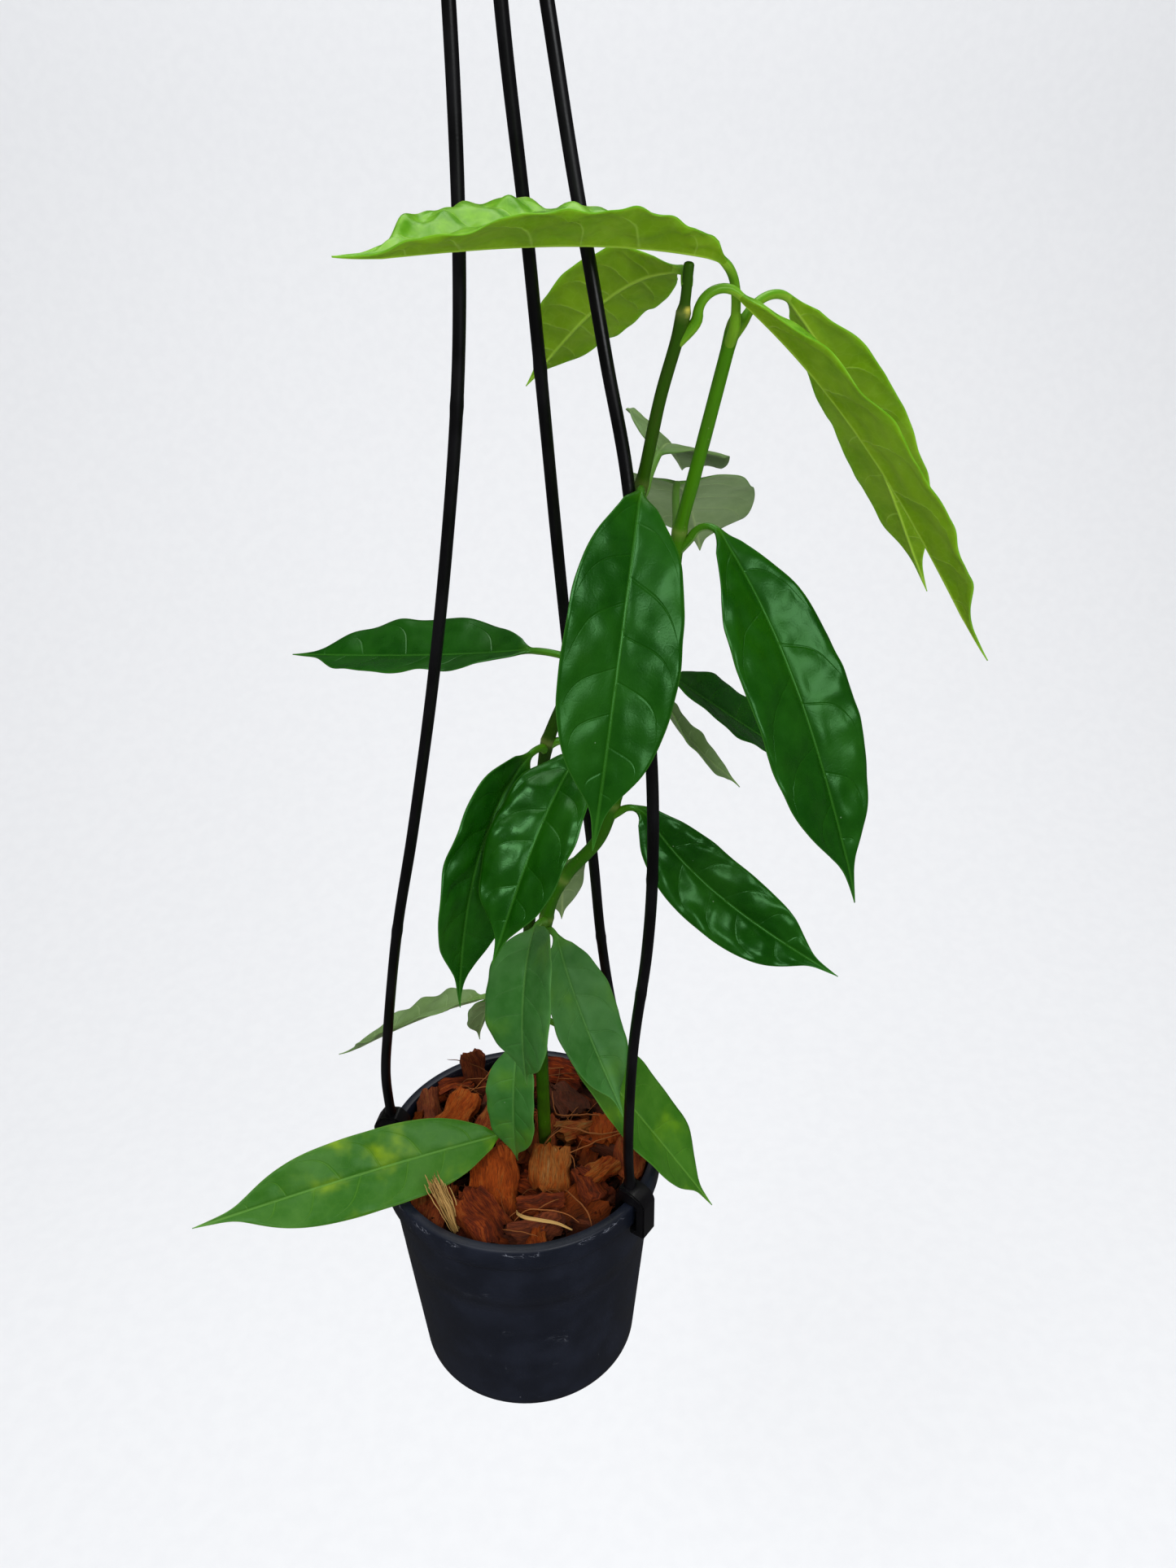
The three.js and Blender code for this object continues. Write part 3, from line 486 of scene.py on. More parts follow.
# ------------------------------------------------------------------ shader tools
def feed(tree, socket, value):
    if isinstance(value, bpy.types.NodeSocket):
        tree.links.new(value, socket)
    else:
        socket.default_value = value


def add(tree, kind, inputs=None, **settings):
    node = tree.nodes.new(kind)
    for name, value in settings.items():
        setattr(node, name, value)
    for key, value in (inputs or {}).items():
        feed(tree, node.inputs[key], value)
    return node


def sums(tree, operation, a, b=0.0, c=None, clamp=False):
    inputs = {0: a, 1: b}
    if c is not None:
        inputs[2] = c
    return add(tree, "ShaderNodeMath", inputs, operation=operation, use_clamp=clamp).outputs[0]


def times(tree, a, b):
    return sums(tree, "MULTIPLY", a, b)


def plus(tree, a, b, clamp=False):
    return sums(tree, "ADD", a, b, clamp=clamp)


def scaled(tree, value, factor, start):
    """A value times a factor, counted from a start."""
    return sums(tree, "MULTIPLY_ADD", value, factor, start)


def per_metre(tree, size):
    """The scale of a texture whose forms have a size in millimetres."""
    return sums(tree, "DIVIDE", 1000.0, size)


def soft_step(tree, value, low, high, start=0.0, end=1.0):
    inputs = {"Value": value, "From Min": low, "From Max": high, "To Min": start, "To Max": end}
    return add(tree, "ShaderNodeMapRange", inputs, interpolation_type="SMOOTHSTEP").outputs[0]


def whole_colour(colour):
    """A colour of three numbers as a socket takes it; anything else as it is."""
    return (*colour, 1.0) if isinstance(colour, tuple) and len(colour) == 3 else colour


def tint(tree, share, under, over):
    """The under colour, with the over colour laid on it by a share."""
    inputs = {0: share, 6: whole_colour(under), 7: whole_colour(over)}
    return add(tree, "ShaderNodeMix", inputs, data_type="RGBA").outputs[2]


def stretched(tree, vector, scale):
    inputs = {0: vector, 1: scale}
    return add(tree, "ShaderNodeVectorMath", inputs, operation="MULTIPLY").outputs[0]


def shifted(tree, vector, by):
    return add(tree, "ShaderNodeVectorMath", {0: vector, 1: by}, operation="ADD").outputs[0]


def place_of(tree):
    return add(tree, "ShaderNodeTexCoord").outputs["Object"]


def height_of(tree):
    """The height in metres from the seat of the hook."""
    return add(tree, "ShaderNodeSeparateXYZ", {0: place_of(tree)}).outputs[2]


def reading(tree, name):
    """A value that the mesh carries."""
    return add(tree, "ShaderNodeAttribute", attribute_name=name).outputs["Fac"]


def map_of(tree, name):
    """A flat map that the mesh carries."""
    return add(tree, "ShaderNodeUVMap", uv_map=name).outputs[0]


def cloudy(tree, place, scale, detail, roughness=0.5):
    """Value and colour of a cloudy noise."""
    inputs = {"Vector": place, "Scale": scale, "Detail": detail, "Roughness": roughness}
    return add(tree, "ShaderNodeTexNoise", inputs).outputs


def new_effect(name, inputs, outputs):
    """An empty shader node group, with its input values and output names."""
    tree = bpy.data.node_groups.new(name, "ShaderNodeTree")
    for label, value in inputs.items():
        kind = "NodeSocketFloat" if isinstance(value, float) else "NodeSocketVector"
        tree.interface.new_socket(label, in_out="INPUT", socket_type=kind).default_value = value
    for label in outputs:
        tree.interface.new_socket(label, in_out="OUTPUT", socket_type="NodeSocketFloat")
    start = tree.nodes.new("NodeGroupInput")
    end = tree.nodes.new("NodeGroupOutput")
    return tree, start.outputs, end.inputs


def use_effect(tree, effect, **inputs):
    node = tree.nodes.new("ShaderNodeGroup")
    node.node_tree = effect
    for key, value in inputs.items():
        feed(tree, node.inputs[key.replace("_", " ")], value)
    return node.outputs


def make_blotches():
    """Soft irregular patches of a given size in millimetres."""
    inputs = {"Size": 10.0, "Least": 0.5, "Most": 0.65, "Shift": 0.0}
    tree, given, made = new_effect("blotches", inputs, ["Patches"])
    shift = add(tree, "ShaderNodeCombineXYZ", {0: given["Shift"], 1: given["Shift"], 2: 0.0}).outputs[0]
    cloud = cloudy(tree, shifted(tree, place_of(tree), shift), per_metre(tree, given["Size"]), 3.0)[0]
    feed(tree, made["Patches"], soft_step(tree, cloud, given["Least"], given["Most"]))
    return tree


def make_leaf_veins():
    """Lines of the midrib, side veins, fine net and rim of a blade, and their relief."""
    inputs = {"Vein Line": 0.5, "Rib Line": 0.7, "Rim Line": 0.5}
    outputs = ["Veins", "Rib", "Rim", "Net", "Relief"]
    tree, given, made = new_effect("leaf_veins", inputs, outputs)
    to_rim = reading(tree, "rim_distance")
    to_rib = reading(tree, "rib_distance")
    turn = sums(tree, "FRACT", plus(tree, reading(tree, "vein_phase"), 100.5))
    away = sums(tree, "ABSOLUTE", sums(tree, "SUBTRACT", turn, 0.5))
    away = times(tree, away, reading(tree, "vein_gap"))
    veins = soft_step(tree, away, 0.0, given["Vein Line"], 1.0, 0.0)
    veins = times(tree, veins, soft_step(tree, to_rim, 0.4, 4.0))
    veins = times(tree, veins, soft_step(tree, to_rib, 0.0, 1.5, 0.6, 1.0))
    rib_core = times(tree, given["Rib Line"], 0.35)
    rib = soft_step(tree, to_rib, rib_core, given["Rib Line"], 1.0, 0.0)
    rim_core = times(tree, given["Rim Line"], 0.3)
    rim = soft_step(tree, to_rim, rim_core, given["Rim Line"], 1.0, 0.0)
    flat = map_of(tree, "blade_map")
    bent = stretched(tree, cloudy(tree, flat, 3.0, 2.0)["Color"], (0.22, 0.22, 0.0))
    inputs = {"Vector": shifted(tree, flat, bent), "Scale": 3.4}
    cells = add(tree, "ShaderNodeTexVoronoi", inputs, feature="DISTANCE_TO_EDGE").outputs[0]
    net = soft_step(tree, cells, 0.0, 0.10, 1.0, 0.0)
    relief = plus(tree, times(tree, veins, -0.8), times(tree, rib, -0.6))
    relief = plus(tree, relief, times(tree, net, -0.05))
    for name, value in (("Veins", veins), ("Rib", rib), ("Rim", rim), ("Net", net), ("Relief", relief)):
        feed(tree, made[name], value)
    return tree


def make_fine_skin():
    """The fine pebbling of a leaf's skin or of moulded plastic, by grain size in millimetres."""
    tree, given, made = new_effect("fine_skin", {"Grain": 0.5}, ["Height"])
    scale = per_metre(tree, given["Grain"])
    fine = cloudy(tree, place_of(tree), scale, 2.0)[0]
    broad = cloudy(tree, place_of(tree), times(tree, scale, 0.2), 2.0)[0]
    feed(tree, made["Height"], plus(tree, times(tree, fine, 0.6), times(tree, broad, 0.4)))
    return tree


def make_specks():
    """Small separate spots of dust or water marks: spacing and size in millimetres."""
    inputs = {"Spacing": 6.0, "Spot": 0.3, "Share": 0.3}
    tree, given, made = new_effect("specks", inputs, ["Spots"])
    inputs = {"Vector": place_of(tree), "Scale": per_metre(tree, given["Spacing"])}
    cells = add(tree, "ShaderNodeTexVoronoi", inputs).outputs
    size = sums(tree, "DIVIDE", given["Spot"], given["Spacing"])
    spot = soft_step(tree, cells["Distance"], times(tree, size, 0.4), size, 1.0, 0.0)
    chance = add(tree, "ShaderNodeSeparateColor", {0: cells["Color"]}).outputs[0]
    feed(tree, made["Spots"], times(tree, spot, sums(tree, "LESS_THAN", chance, given["Share"])))
    return tree


def make_streaks():
    """Fibrous streaks: a map whose first number runs along the grain, in centimetres."""
    inputs = {"Map": (0.0, 0.0, 0.0), "Along": 1.0, "Across": 12.0}
    tree, given, made = new_effect("streaks", inputs, ["Streaks"])
    scale = add(tree, "ShaderNodeCombineXYZ", {0: given["Along"], 1: given["Across"], 2: 1.0}).outputs[0]
    feed(tree, made["Streaks"], cloudy(tree, stretched(tree, given["Map"], scale), 1.0, 5.0, 0.6)[0])
    return tree


def make_scuffs():
    """Short pale scratches, with the share of the surface that has any."""
    inputs = {"Share": 0.5, "Scale": 160.0, "Stretch": (1.0, 1.0, 6.0)}
    tree, given, made = new_effect("scuffs", inputs, ["Scratches"])
    place = stretched(tree, place_of(tree), given["Stretch"])
    push = stretched(tree, cloudy(tree, place, given["Scale"], 2.0)["Color"], (0.006, 0.006, 0.006))
    inputs = {"Vector": shifted(tree, place, push), "Scale": given["Scale"]}
    edge = add(tree, "ShaderNodeTexVoronoi", inputs, feature="DISTANCE_TO_EDGE").outputs[0]
    line = soft_step(tree, edge, 0.0, 0.035, 1.0, 0.0)
    least = sums(tree, "SUBTRACT", 1.0, given["Share"])
    worn = soft_step(tree, cloudy(tree, place_of(tree), 130.0, 3.0)[0], least, plus(tree, least, 0.12))
    feed(tree, made["Scratches"], times(tree, line, worn))
    return tree


BLOTCHES = make_blotches()
LEAF_VEINS = make_leaf_veins()
FINE_SKIN = make_fine_skin()
SPECKS = make_specks()
STREAKS = make_streaks()
SCUFFS = make_scuffs()


def new_finish(name, roughness, specular=0.5, mirrored=(1.0, 1.0, 1.0)):
    finish = bpy.data.materials.new(name)
    finish.use_nodes = True
    tree = finish.node_tree
    shader = tree.nodes["Principled BSDF"].inputs
    shader["Roughness"].default_value = roughness
    shader["Specular IOR Level"].default_value = specular
    shader["Specular Tint"].default_value = (*mirrored, 1.0)
    return finish, tree, shader


def bump(tree, height, depth_mm, strength=1.0, under=None):
    inputs = {"Strength": strength, "Distance": depth_mm / 1000, "Height": height}
    if under is not None:
        inputs["Normal"] = under
    return add(tree, "ShaderNodeBump", inputs).outputs[0]


def layered(tree, colour, layers):
    """A colour with others laid over it in turn, each by its share."""
    for share, over in layers:
        colour = tint(tree, share, colour, over)
    return colour


def feed_skin(tree, shader, colour, roughness, normal):
    for name, value in (("Base Color", colour), ("Roughness", roughness), ("Normal", normal)):
        feed(tree, shader[name], value)


# ------------------------------------------------------------------ leaf finishes
def leaf_finish(name, deep, light, vein, rib, rim, patch, patches, roughness, specular,
                vein_share=0.16, rib_share=0.6, dust=0.10, glow=0.0, raised=1.0, size=22.0,
                mirrored=(0.62, 1.0, 0.60), stalk=(0.060, 0.200, 0.003)):
    """Skin of one side of a leaf: deep green, lighter between the veins, with its vein lines,
    yellow patches, specks of dust, and the fine relief of the net."""
    finish, tree, shader = new_finish(name, roughness, specular, mirrored)
    lines = use_effect(tree, LEAF_VEINS, Vein_Line=0.42, Rib_Line=0.62, Rim_Line=0.42)
    broad = use_effect(tree, BLOTCHES, Size=size, Least=0.35, Most=0.68)["Patches"]
    small = use_effect(tree, BLOTCHES, Size=3.5, Least=0.3, Most=0.75, Shift=0.31)["Patches"]
    yellow = use_effect(tree, BLOTCHES, Size=15.0, Least=0.50, Most=0.82, Shift=0.77)["Patches"]
    spots = use_effect(tree, SPECKS, Spacing=5.5, Spot=0.26, Share=dust)["Spots"]
    cloud = plus(tree, times(tree, broad, 0.7), times(tree, small, 0.3))
    colour = layered(tree, tint(tree, cloud, deep, light), [
        (times(tree, yellow, patches), patch),
        (times(tree, lines["Net"], 0.22 * vein_share), vein),
        (times(tree, lines["Veins"], vein_share), vein),
        (times(tree, lines["Rib"], rib_share), rib),
        (times(tree, lines["Rim"], 0.4), rim),
        (times(tree, reading(tree, "stalk_share"), scaled(tree, cloud, 0.4, 0.6)), stalk),
        (times(tree, spots, 0.45), (0.32, 0.42, 0.28)),
    ])
    rough = plus(tree, scaled(tree, cloud, 0.10, roughness - 0.05), times(tree, spots, 0.25))
    skin_height = use_effect(tree, FINE_SKIN, Grain=0.55)["Height"]
    normal = bump(tree, lines["Relief"], 0.16 * raised, 0.8)
    feed_skin(tree, shader, colour, rough, bump(tree, skin_height, 0.05, 0.6, normal))
    if glow:
        shader["Subsurface Weight"].default_value = glow
        shader["Subsurface Radius"].default_value = (0.5, 1.0, 0.15)
        shader["Subsurface Scale"].default_value = 0.002
    return finish


# Colours of each leaf finish: deep, light between the veins, side veins, midrib, rim and yellow
# patches. Then the share of patches, the roughness and the strength of the mirror image.
LEAF_COLOURS = {
    "leaf_dark": (
        (0.0030, 0.046, 0.0003), (0.009, 0.080, 0.0010), (0.020, 0.11, 0.004), (0.032, 0.15, 0.010),
        (0.05, 0.19, 0.02), (0.030, 0.12, 0.002), 0.15, 0.30, 0.50),
    "leaf_bluish": (
        (0.024, 0.120, 0.014), (0.060, 0.190, 0.042), (0.09, 0.24, 0.06), (0.08, 0.23, 0.04),
        (0.10, 0.27, 0.05), (0.10, 0.25, 0.008), 0.55, 0.42, 0.32),
    "leaf_mid": (
        (0.024, 0.118, 0.002), (0.055, 0.178, 0.010), (0.09, 0.25, 0.02), (0.11, 0.28, 0.03),
        (0.12, 0.29, 0.04), (0.13, 0.28, 0.002), 0.85, 0.40, 0.32),
    "leaf_yellowed": (
        (0.022, 0.110, 0.003), (0.052, 0.160, 0.016), (0.09, 0.24, 0.02), (0.11, 0.27, 0.04),
        (0.14, 0.30, 0.04), (0.24, 0.36, 0.002), 1.0, 0.40, 0.30),
    "leaf_hazy": (
        (0.115, 0.20, 0.055), (0.168, 0.27, 0.10), (0.24, 0.36, 0.14), (0.24, 0.36, 0.12),
        (0.17, 0.31, 0.08), (0.14, 0.26, 0.01), 0.3, 0.5, 0.28),
    "leaf_young": (
        (0.062, 0.225, 0.001), (0.165, 0.390, 0.015), (0.30, 0.56, 0.07), (0.22, 0.46, 0.03),
        (0.16, 0.40, 0.01), (0.26, 0.46, 0.10), 0.5, 0.32, 0.5),
    "underside_grey": (
        (0.16, 0.25, 0.09), (0.25, 0.35, 0.16), (0.31, 0.42, 0.18), (0.34, 0.46, 0.18),
        (0.14, 0.26, 0.08), (0.14, 0.26, 0.02), 0.35, 0.5, 0.26),
    "underside_young": (
        (0.135, 0.270, 0.0005), (0.205, 0.360, 0.008), (0.32, 0.50, 0.06), (0.36, 0.57, 0.05),
        (0.24, 0.50, 0.03), (0.12, 0.29, 0.001), 0.45, 0.45, 0.26),
}
# What else sets a leaf finish apart from the others.
LEAF_TRAITS = {
    "leaf_dark": {"vein_share": 0.07, "rib_share": 0.5, "dust": 0.12, "mirrored": (0.42, 1.0, 0.42)},
    "leaf_bluish": {"dust": 0.14},
    "leaf_yellowed": {"vein_share": 0.3},
    "leaf_hazy": {"vein_share": 0.45},
    "leaf_young": {"vein_share": 0.4, "glow": 0.2, "size": 5.0, "mirrored": (0.8, 1.0, 0.45),
                   "stalk": (0.075, 0.250, 0.002)},
    "underside_grey": {"vein_share": 0.5, "raised": -1.0},
    "underside_young": {"vein_share": 0.5, "rib_share": 0.75, "glow": 0.2, "raised": -1.0,
                        "mirrored": (0.8, 1.0, 0.35), "stalk": (0.075, 0.250, 0.002)},
}


# ------------------------------------------------------------------ leaves
STALK_RINGS = 12
FOOT_RINGS = 9
BLADE_RINGS = 118
HALF_COLUMNS = 16
PATH_STEPS = 900
NODE_SWELL = 0.30
NODE_REACH = 3
FOOT_BELOW = 2.2
FOOT_BELOW_STEEP = 4.6
FOOT_LENGTH = 3
STALK_HALF = 0.55
DRIP_TIP_HALF = 0.16
RIM_THICKNESS = 0.12
SPREADING = 8
ROUNDED_FOOT = 0.28
RIGHT_VEINS_LATER = 0.45
RIB_DEPTH = 0.8
GROOVE_DEPTH = 0.22


def stem_line(stem):
    return smooth_line(stem["points"], 24)


def stem_at(stem, height):
    line = stem_line(stem)
    return np.array([np.interp(height, line[:, 2], line[:, k]) for k in range(3)])


def stem_radius(stem, z):
    foot, tip = stem["radii"]
    z = np.asarray(z, float)
    radius = foot + (tip - foot) * held(z / stem["points"][-1][2])
    for node in stem["nodes"]:
        radius = radius + NODE_SWELL * bell(z - node, NODE_REACH)
    slim_from, slim_to, slim = stem["slim_tip"]
    return radius + (slim - radius) * eased((z - slim_from) / (slim_to - slim_from))


def blade_shape(x, widest):
    """Half the width of a blade as a share of its widest, from its base (0) to its drip tip (1)."""
    line = smooth_line([(a, b, 0) for a, b in BLADE_OUTLINE], 6)
    return np.interp(np.clip(x, 0, 1) ** (1 / widest), line[:, 0], line[:, 1])


class Leaf:
    """Measures of one leaf, and where its midrib runs."""

    def __init__(self, name):
        (self.stem, self.at, self.bearing, self.turn, self.swing, self.rise, self.lean, self.droop,
         self.stalk, self.blade, self.width, self.roll, self.twist, self.fold, self.waves) = LEAF_HABIT[name]
        self.total = self.stalk + self.blade
        self.s = np.linspace(0, self.total, PATH_STEPS + 1)
        steps = self.direction((self.s[1:] + self.s[:-1]) / 2) * self.total / PATH_STEPS
        self.path = self.stalk_start() + np.vstack([np.zeros(3), np.cumsum(steps, 0)])

    def passed(self, s):
        """The share of the blade that is passed at a length from the stem."""
        return held((s - self.stalk) / self.blade)

    def heading(self, s):
        turn = self.turn * held(1 - s / self.stalk)
        return np.radians(self.bearing + self.swing * s / self.total + turn)

    def direction(self, s):
        on_stalk = self.rise + (self.lean - self.rise) * s / self.stalk
        on_blade = self.lean - self.droop * (1 - (1 - self.passed(s)) ** 2)
        e = np.radians(np.where(s < self.stalk, on_stalk, on_blade))
        h = self.heading(s)
        return np.stack([np.cos(e) * np.cos(h), np.cos(e) * np.sin(h), np.sin(e)], -1)

    def stalk_start(self):
        clear = float(stem_radius(self.stem, self.at)) + LEAF_GAP
        clear = clear + STALK_RADIUS * abs(math.sin(math.radians(self.rise)))
        return stem_at(self.stem, self.at) + on_circle(clear, float(self.heading(np.array(0.0))))

    def sections(self, s):
        """Position, side and up directions of the midrib."""
        position = np.stack([np.interp(s, self.s, self.path[:, k]) for k in range(3)], -1)
        h = self.heading(s)
        level = np.stack([np.sin(h), -np.cos(h), 0 * h], -1)
        roll = np.radians(self.roll + self.twist * self.passed(s))[:, None]
        normal = np.cross(level, self.direction(s))
        side = level * np.cos(roll) + normal * np.sin(roll)
        up = normal * np.cos(roll) - level * np.sin(roll)
        return position, side, up


def foot_sections(leaf, start, side):
    """Line, sides and ups of the stalk's foot, which parts from the stem a little below where the
    stalk begins: the steeper the stalk, the lower."""
    out = leaf.direction(np.array([0.0]))[0]
    steep = max(0.0, float(out[2]))
    below = FOOT_BELOW + FOOT_BELOW_STEEP * steep ** 2
    axis = stem_at(leaf.stem, leaf.at - below)
    along = unit(stem_at(leaf.stem, leaf.at - below + 2) - axis)
    reach = float(np.linalg.norm(start - axis))
    leave = unit(unit(start - axis) + along * steep) * reach * 0.8
    arrive = out * reach * 0.8
    t = np.linspace(0, 1, FOOT_RINGS + 1)[:-1, None]
    line = axis + (start - axis) * eased(t)
    line = line + leave * (t ** 3 - 2 * t ** 2 + t) + arrive * (t ** 3 - t ** 2)
    slope = (axis - start) * (6 * t ** 2 - 6 * t) + leave * (3 * t ** 2 - 4 * t + 1)
    slope = unit(slope + arrive * (3 * t ** 2 - 2 * t))
    sides = unit(side - slope * (slope @ side)[:, None])
    return line, sides, np.cross(sides, slope)


def cell_chance(number, seed):
    """A chance from 0 to 1 for each whole number, the same on each run."""
    mixed = np.sin(np.asarray(number, float) * 12.9898 + seed * 78.233) * 43758.5453
    return mixed - np.floor(mixed)


def leaf_lumps(s, across, seat):
    """Uneven heights of a blade, drawn from a noise about a seat."""
    rows = []
    for along, row in zip(s, across):
        places = [Vector((along * 0.17, place * 0.21, 0)) + seat for place in row]
        rows.append([noise.noise(place) for place in places])
    return np.array(rows)


def both_faces(field):
    """Values of the upper face, and then of the lower face, whose columns run back."""
    return np.concatenate([field, field[:, ::-1]], 1)


def build_leaf(name):
    leaf = Leaf(name)
    veins, cushion, above, early = LEAF_FINISH[name]
    left_share, right_share, widest = UNEVEN_BLADES.get(name, EVEN_BLADE)
    below = UNDERSIDES.get(above, COMMON_UNDERSIDE)
    young = above == "leaf_young"
    dice = random.Random(name)

    # Rings along the leaf, from inside the stem to the drip tip.
    begins = leaf.stalk - early
    length = leaf.blade + early
    crowded = 1 - (1 - np.linspace(0, 1, BLADE_RINGS)) ** 1.08
    s = np.concatenate([np.linspace(0, begins, STALK_RINGS, endpoint=False), begins + length * crowded])
    sections = leaf.sections(s)
    foot = foot_sections(leaf, sections[0][0], sections[1][0])
    position, side, up = [np.vstack(rows)[:, None, :] for rows in zip(foot, sections)]
    s = np.concatenate([np.linspace(-FOOT_LENGTH, 0, FOOT_RINGS + 1)[:-1], s])[:, None]
    x = held((s - begins) / length)

    # Columns across it, from -1 at the left rim to 1 at the right one.
    spread = np.linspace(-1, 1, 2 * HALF_COLUMNS + 1)
    c = (np.sign(spread) * np.abs(spread) ** 1.3)[None, :]
    out = np.abs(c)
    right = c > 0
    half = leaf.width / 2 * blade_shape(x, widest)
    half = np.maximum(half, np.where(x > 0.5, DRIP_TIP_HALF, STALK_HALF))
    flat = np.where(x > 0.5, 1.0, held((half - 0.6) / 3.6))
    flat = np.where(s < begins, 0.0, flat)
    half = half * np.where(right, right_share, left_share)
    distance = out * half
    spreading = held(half / SPREADING)

    # Side veins arch to the rim; between them the blade is raised in cushions of uneven fullness.
    jitter = dice.uniform(0, 1)
    span = length / veins
    uneven = 0.10 * np.sin(x * 17 + 5 * jitter + 2 * np.sign(c))
    arch = (0.42 * distance + 0.95 * span * out ** 6) / span
    phase = x * veins - arch + np.where(right, RIGHT_VEINS_LATER, 0.0) + jitter + uneven
    cell = np.floor(phase)
    fullness = 0.72 + 0.56 * cell_chance(cell + 31 * np.sign(c), jitter)
    between = np.sin(np.pi * (phase - cell)) ** 0.62
    reach = eased(held(distance / 2.6) * held((1 - out) * half / 3.4))
    raised = cushion * fullness * (between - 0.35) * reach * spreading

    # The rim is waved, frilled at the veins and on some leaves crinkled; the halves are lumpy.
    wave_phase = 2 * np.pi * leaf.waves * x + leaf.bearing + np.where(right, 1.3, 0.0)
    wave = BLADE_WAVE * out ** 1.5 * np.sin(wave_phase)
    if name in CRINKLED:
        crinkle = np.sin(wave_phase * 1.7 + 9 * out) + 0.6 * np.sin(wave_phase * 2.9 - 7 * out)
        wave = wave + CRINKLED[name] * out ** 1.2 * crinkle * np.where(right, 1.0, 0.45)
    frill = 0.22 * out ** 5 * np.sin(x * veins * 2 * np.pi + 4 * jitter + c * 2)
    seat = Vector((dice.uniform(0, 50), dice.uniform(0, 50), dice.uniform(0, 50)))
    lumps = leaf_lumps(s[:, 0], c * half, seat)
    lumps = lumps * cushion * 0.9 * held(np.minimum(out, 1.15 - out) * half / 3)

    # Heights of the blade, its thickness, and the midrib below with its groove above.
    fold = math.radians(leaf.fold)
    tip_curl = 1.2 * held((x - 0.9) / 0.1) ** 2 * dice.uniform(-0.6, 1.0)
    height = distance * math.sin(fold) + (wave + frill) * spreading + raised + lumps + tip_curl
    edge = held(1 - out ** 4) ** 0.5
    thick = (RIM_THICKNESS + (BLADE_THICKNESS / 2 - RIM_THICKNESS) * edge) * held(0.35 + half / 5)
    to_tip = 1 - x
    rib = (0.25 + 0.75 * to_tip ** 1.2) * bell(distance, 0.45 + 0.6 * to_tip) * held(half / 3)
    groove = GROOVE_DEPTH * bell(distance, 0.55) * held(half / 4)
    across = c * half * math.cos(fold)
    stalk = YOUNG_STALK_RADIUS if young else STALK_RADIUS
    stalk = stalk * (1 + ROUNDED_FOOT * bell(s + 1.5, 2.2))
    around = np.radians(90 - 84 * c)
    faces = []
    for face in (1, -1):
        relief = -groove if face > 0 else rib * -RIB_DEPTH
        sideways = stalk * np.cos(around)
        sideways = sideways + (across - sideways) * flat
        upwards = face * stalk * np.sin(around)
        upwards = upwards + (height + face * thick + relief - upwards) * flat
        faces.append(position + side * sideways[..., None] + up * upwards[..., None])
    corners, quads = skin(np.concatenate([faces[0], faces[1][:, ::-1, :]], 1))
    piece = piece_from("hoya_" + name, corners, quads, [leaf_finishes[above], leaf_finishes[below]])

    mesh = piece.data
    width = c.shape[1]
    is_below = np.zeros(len(quads), np.int32)
    for i in range(len(s) - 1):
        is_below[(2 * i + 1) * width:(2 * i + 2) * width - 1] = 1
    mesh.polygons.foreach_set("material_index", is_below)
    whole = np.ones((len(s), width))
    on_blade = held(flat * 1.6 - 0.3)
    set_values(mesh, "vein_phase", both_faces(phase))
    set_values(mesh, "vein_gap", both_faces(whole * span * 0.82))
    set_values(mesh, "rib_distance", both_faces(np.where(flat * whole > 0.3, distance, 0.25)))
    set_values(mesh, "rim_distance", both_faces((1 - out) * half * on_blade + 9 * (1 - on_blade)))
    set_values(mesh, "stalk_share", both_faces(whole * held(1 - (s - begins + 2) / 9)))
    flat_map = np.stack([both_faces(c * half), both_faces(whole * s)], -1).reshape(-1, 2) / 10
    set_map(mesh, "blade_map", flat_map + dice.uniform(0, 9))
    put_on(piece, "young_leaf" if young else "leaf", name)


# ------------------------------------------------------------------ stems
STEM_SIDES = 24


def stem_finish(name, low, middle, high, low_height, high_height):
    """Green bark-less stem: darker towards its foot, with fine lines along it and pale dots."""
    finish, tree, shader = new_finish(name, 0.42, 0.34, (0.55, 1.0, 0.4))
    height = height_of(tree)
    rise = soft_step(tree, height, at_height(low_height), at_height(high_height))
    lines = use_effect(tree, STREAKS, Map=map_of(tree, "stem_map"), Along=0.8, Across=9.0)["Streaks"]
    patches = use_effect(tree, BLOTCHES, Size=9.0, Least=0.45, Most=0.7, Shift=0.12)["Patches"]
    dots = use_effect(tree, SPECKS, Spacing=2.6, Spot=0.3, Share=0.4)["Spots"]
    colour = layered(tree, tint(tree, rise, middle, high), [
        (soft_step(tree, height, at_height(-10), at_height(60), 1.0, 0.0), low),
        (soft_step(tree, lines, 0.42, 0.75, 0.0, 0.45), low),
        (times(tree, patches, 0.35), high),
        (times(tree, reading(tree, "node_mark"), 0.45), (0.22, 0.26, 0.06)),
        (reading(tree, "bud_scar"), (0.62, 0.55, 0.08)),
        (times(tree, dots, 0.35), (0.25, 0.3, 0.1)),
    ])
    fine = use_effect(tree, FINE_SKIN, Grain=0.5)["Height"]
    normal = bump(tree, fine, 0.05, 0.5, bump(tree, lines, 0.12, 0.6))
    feed_skin(tree, shader, colour, scaled(tree, lines, 0.25, 0.28), normal)
    return finish


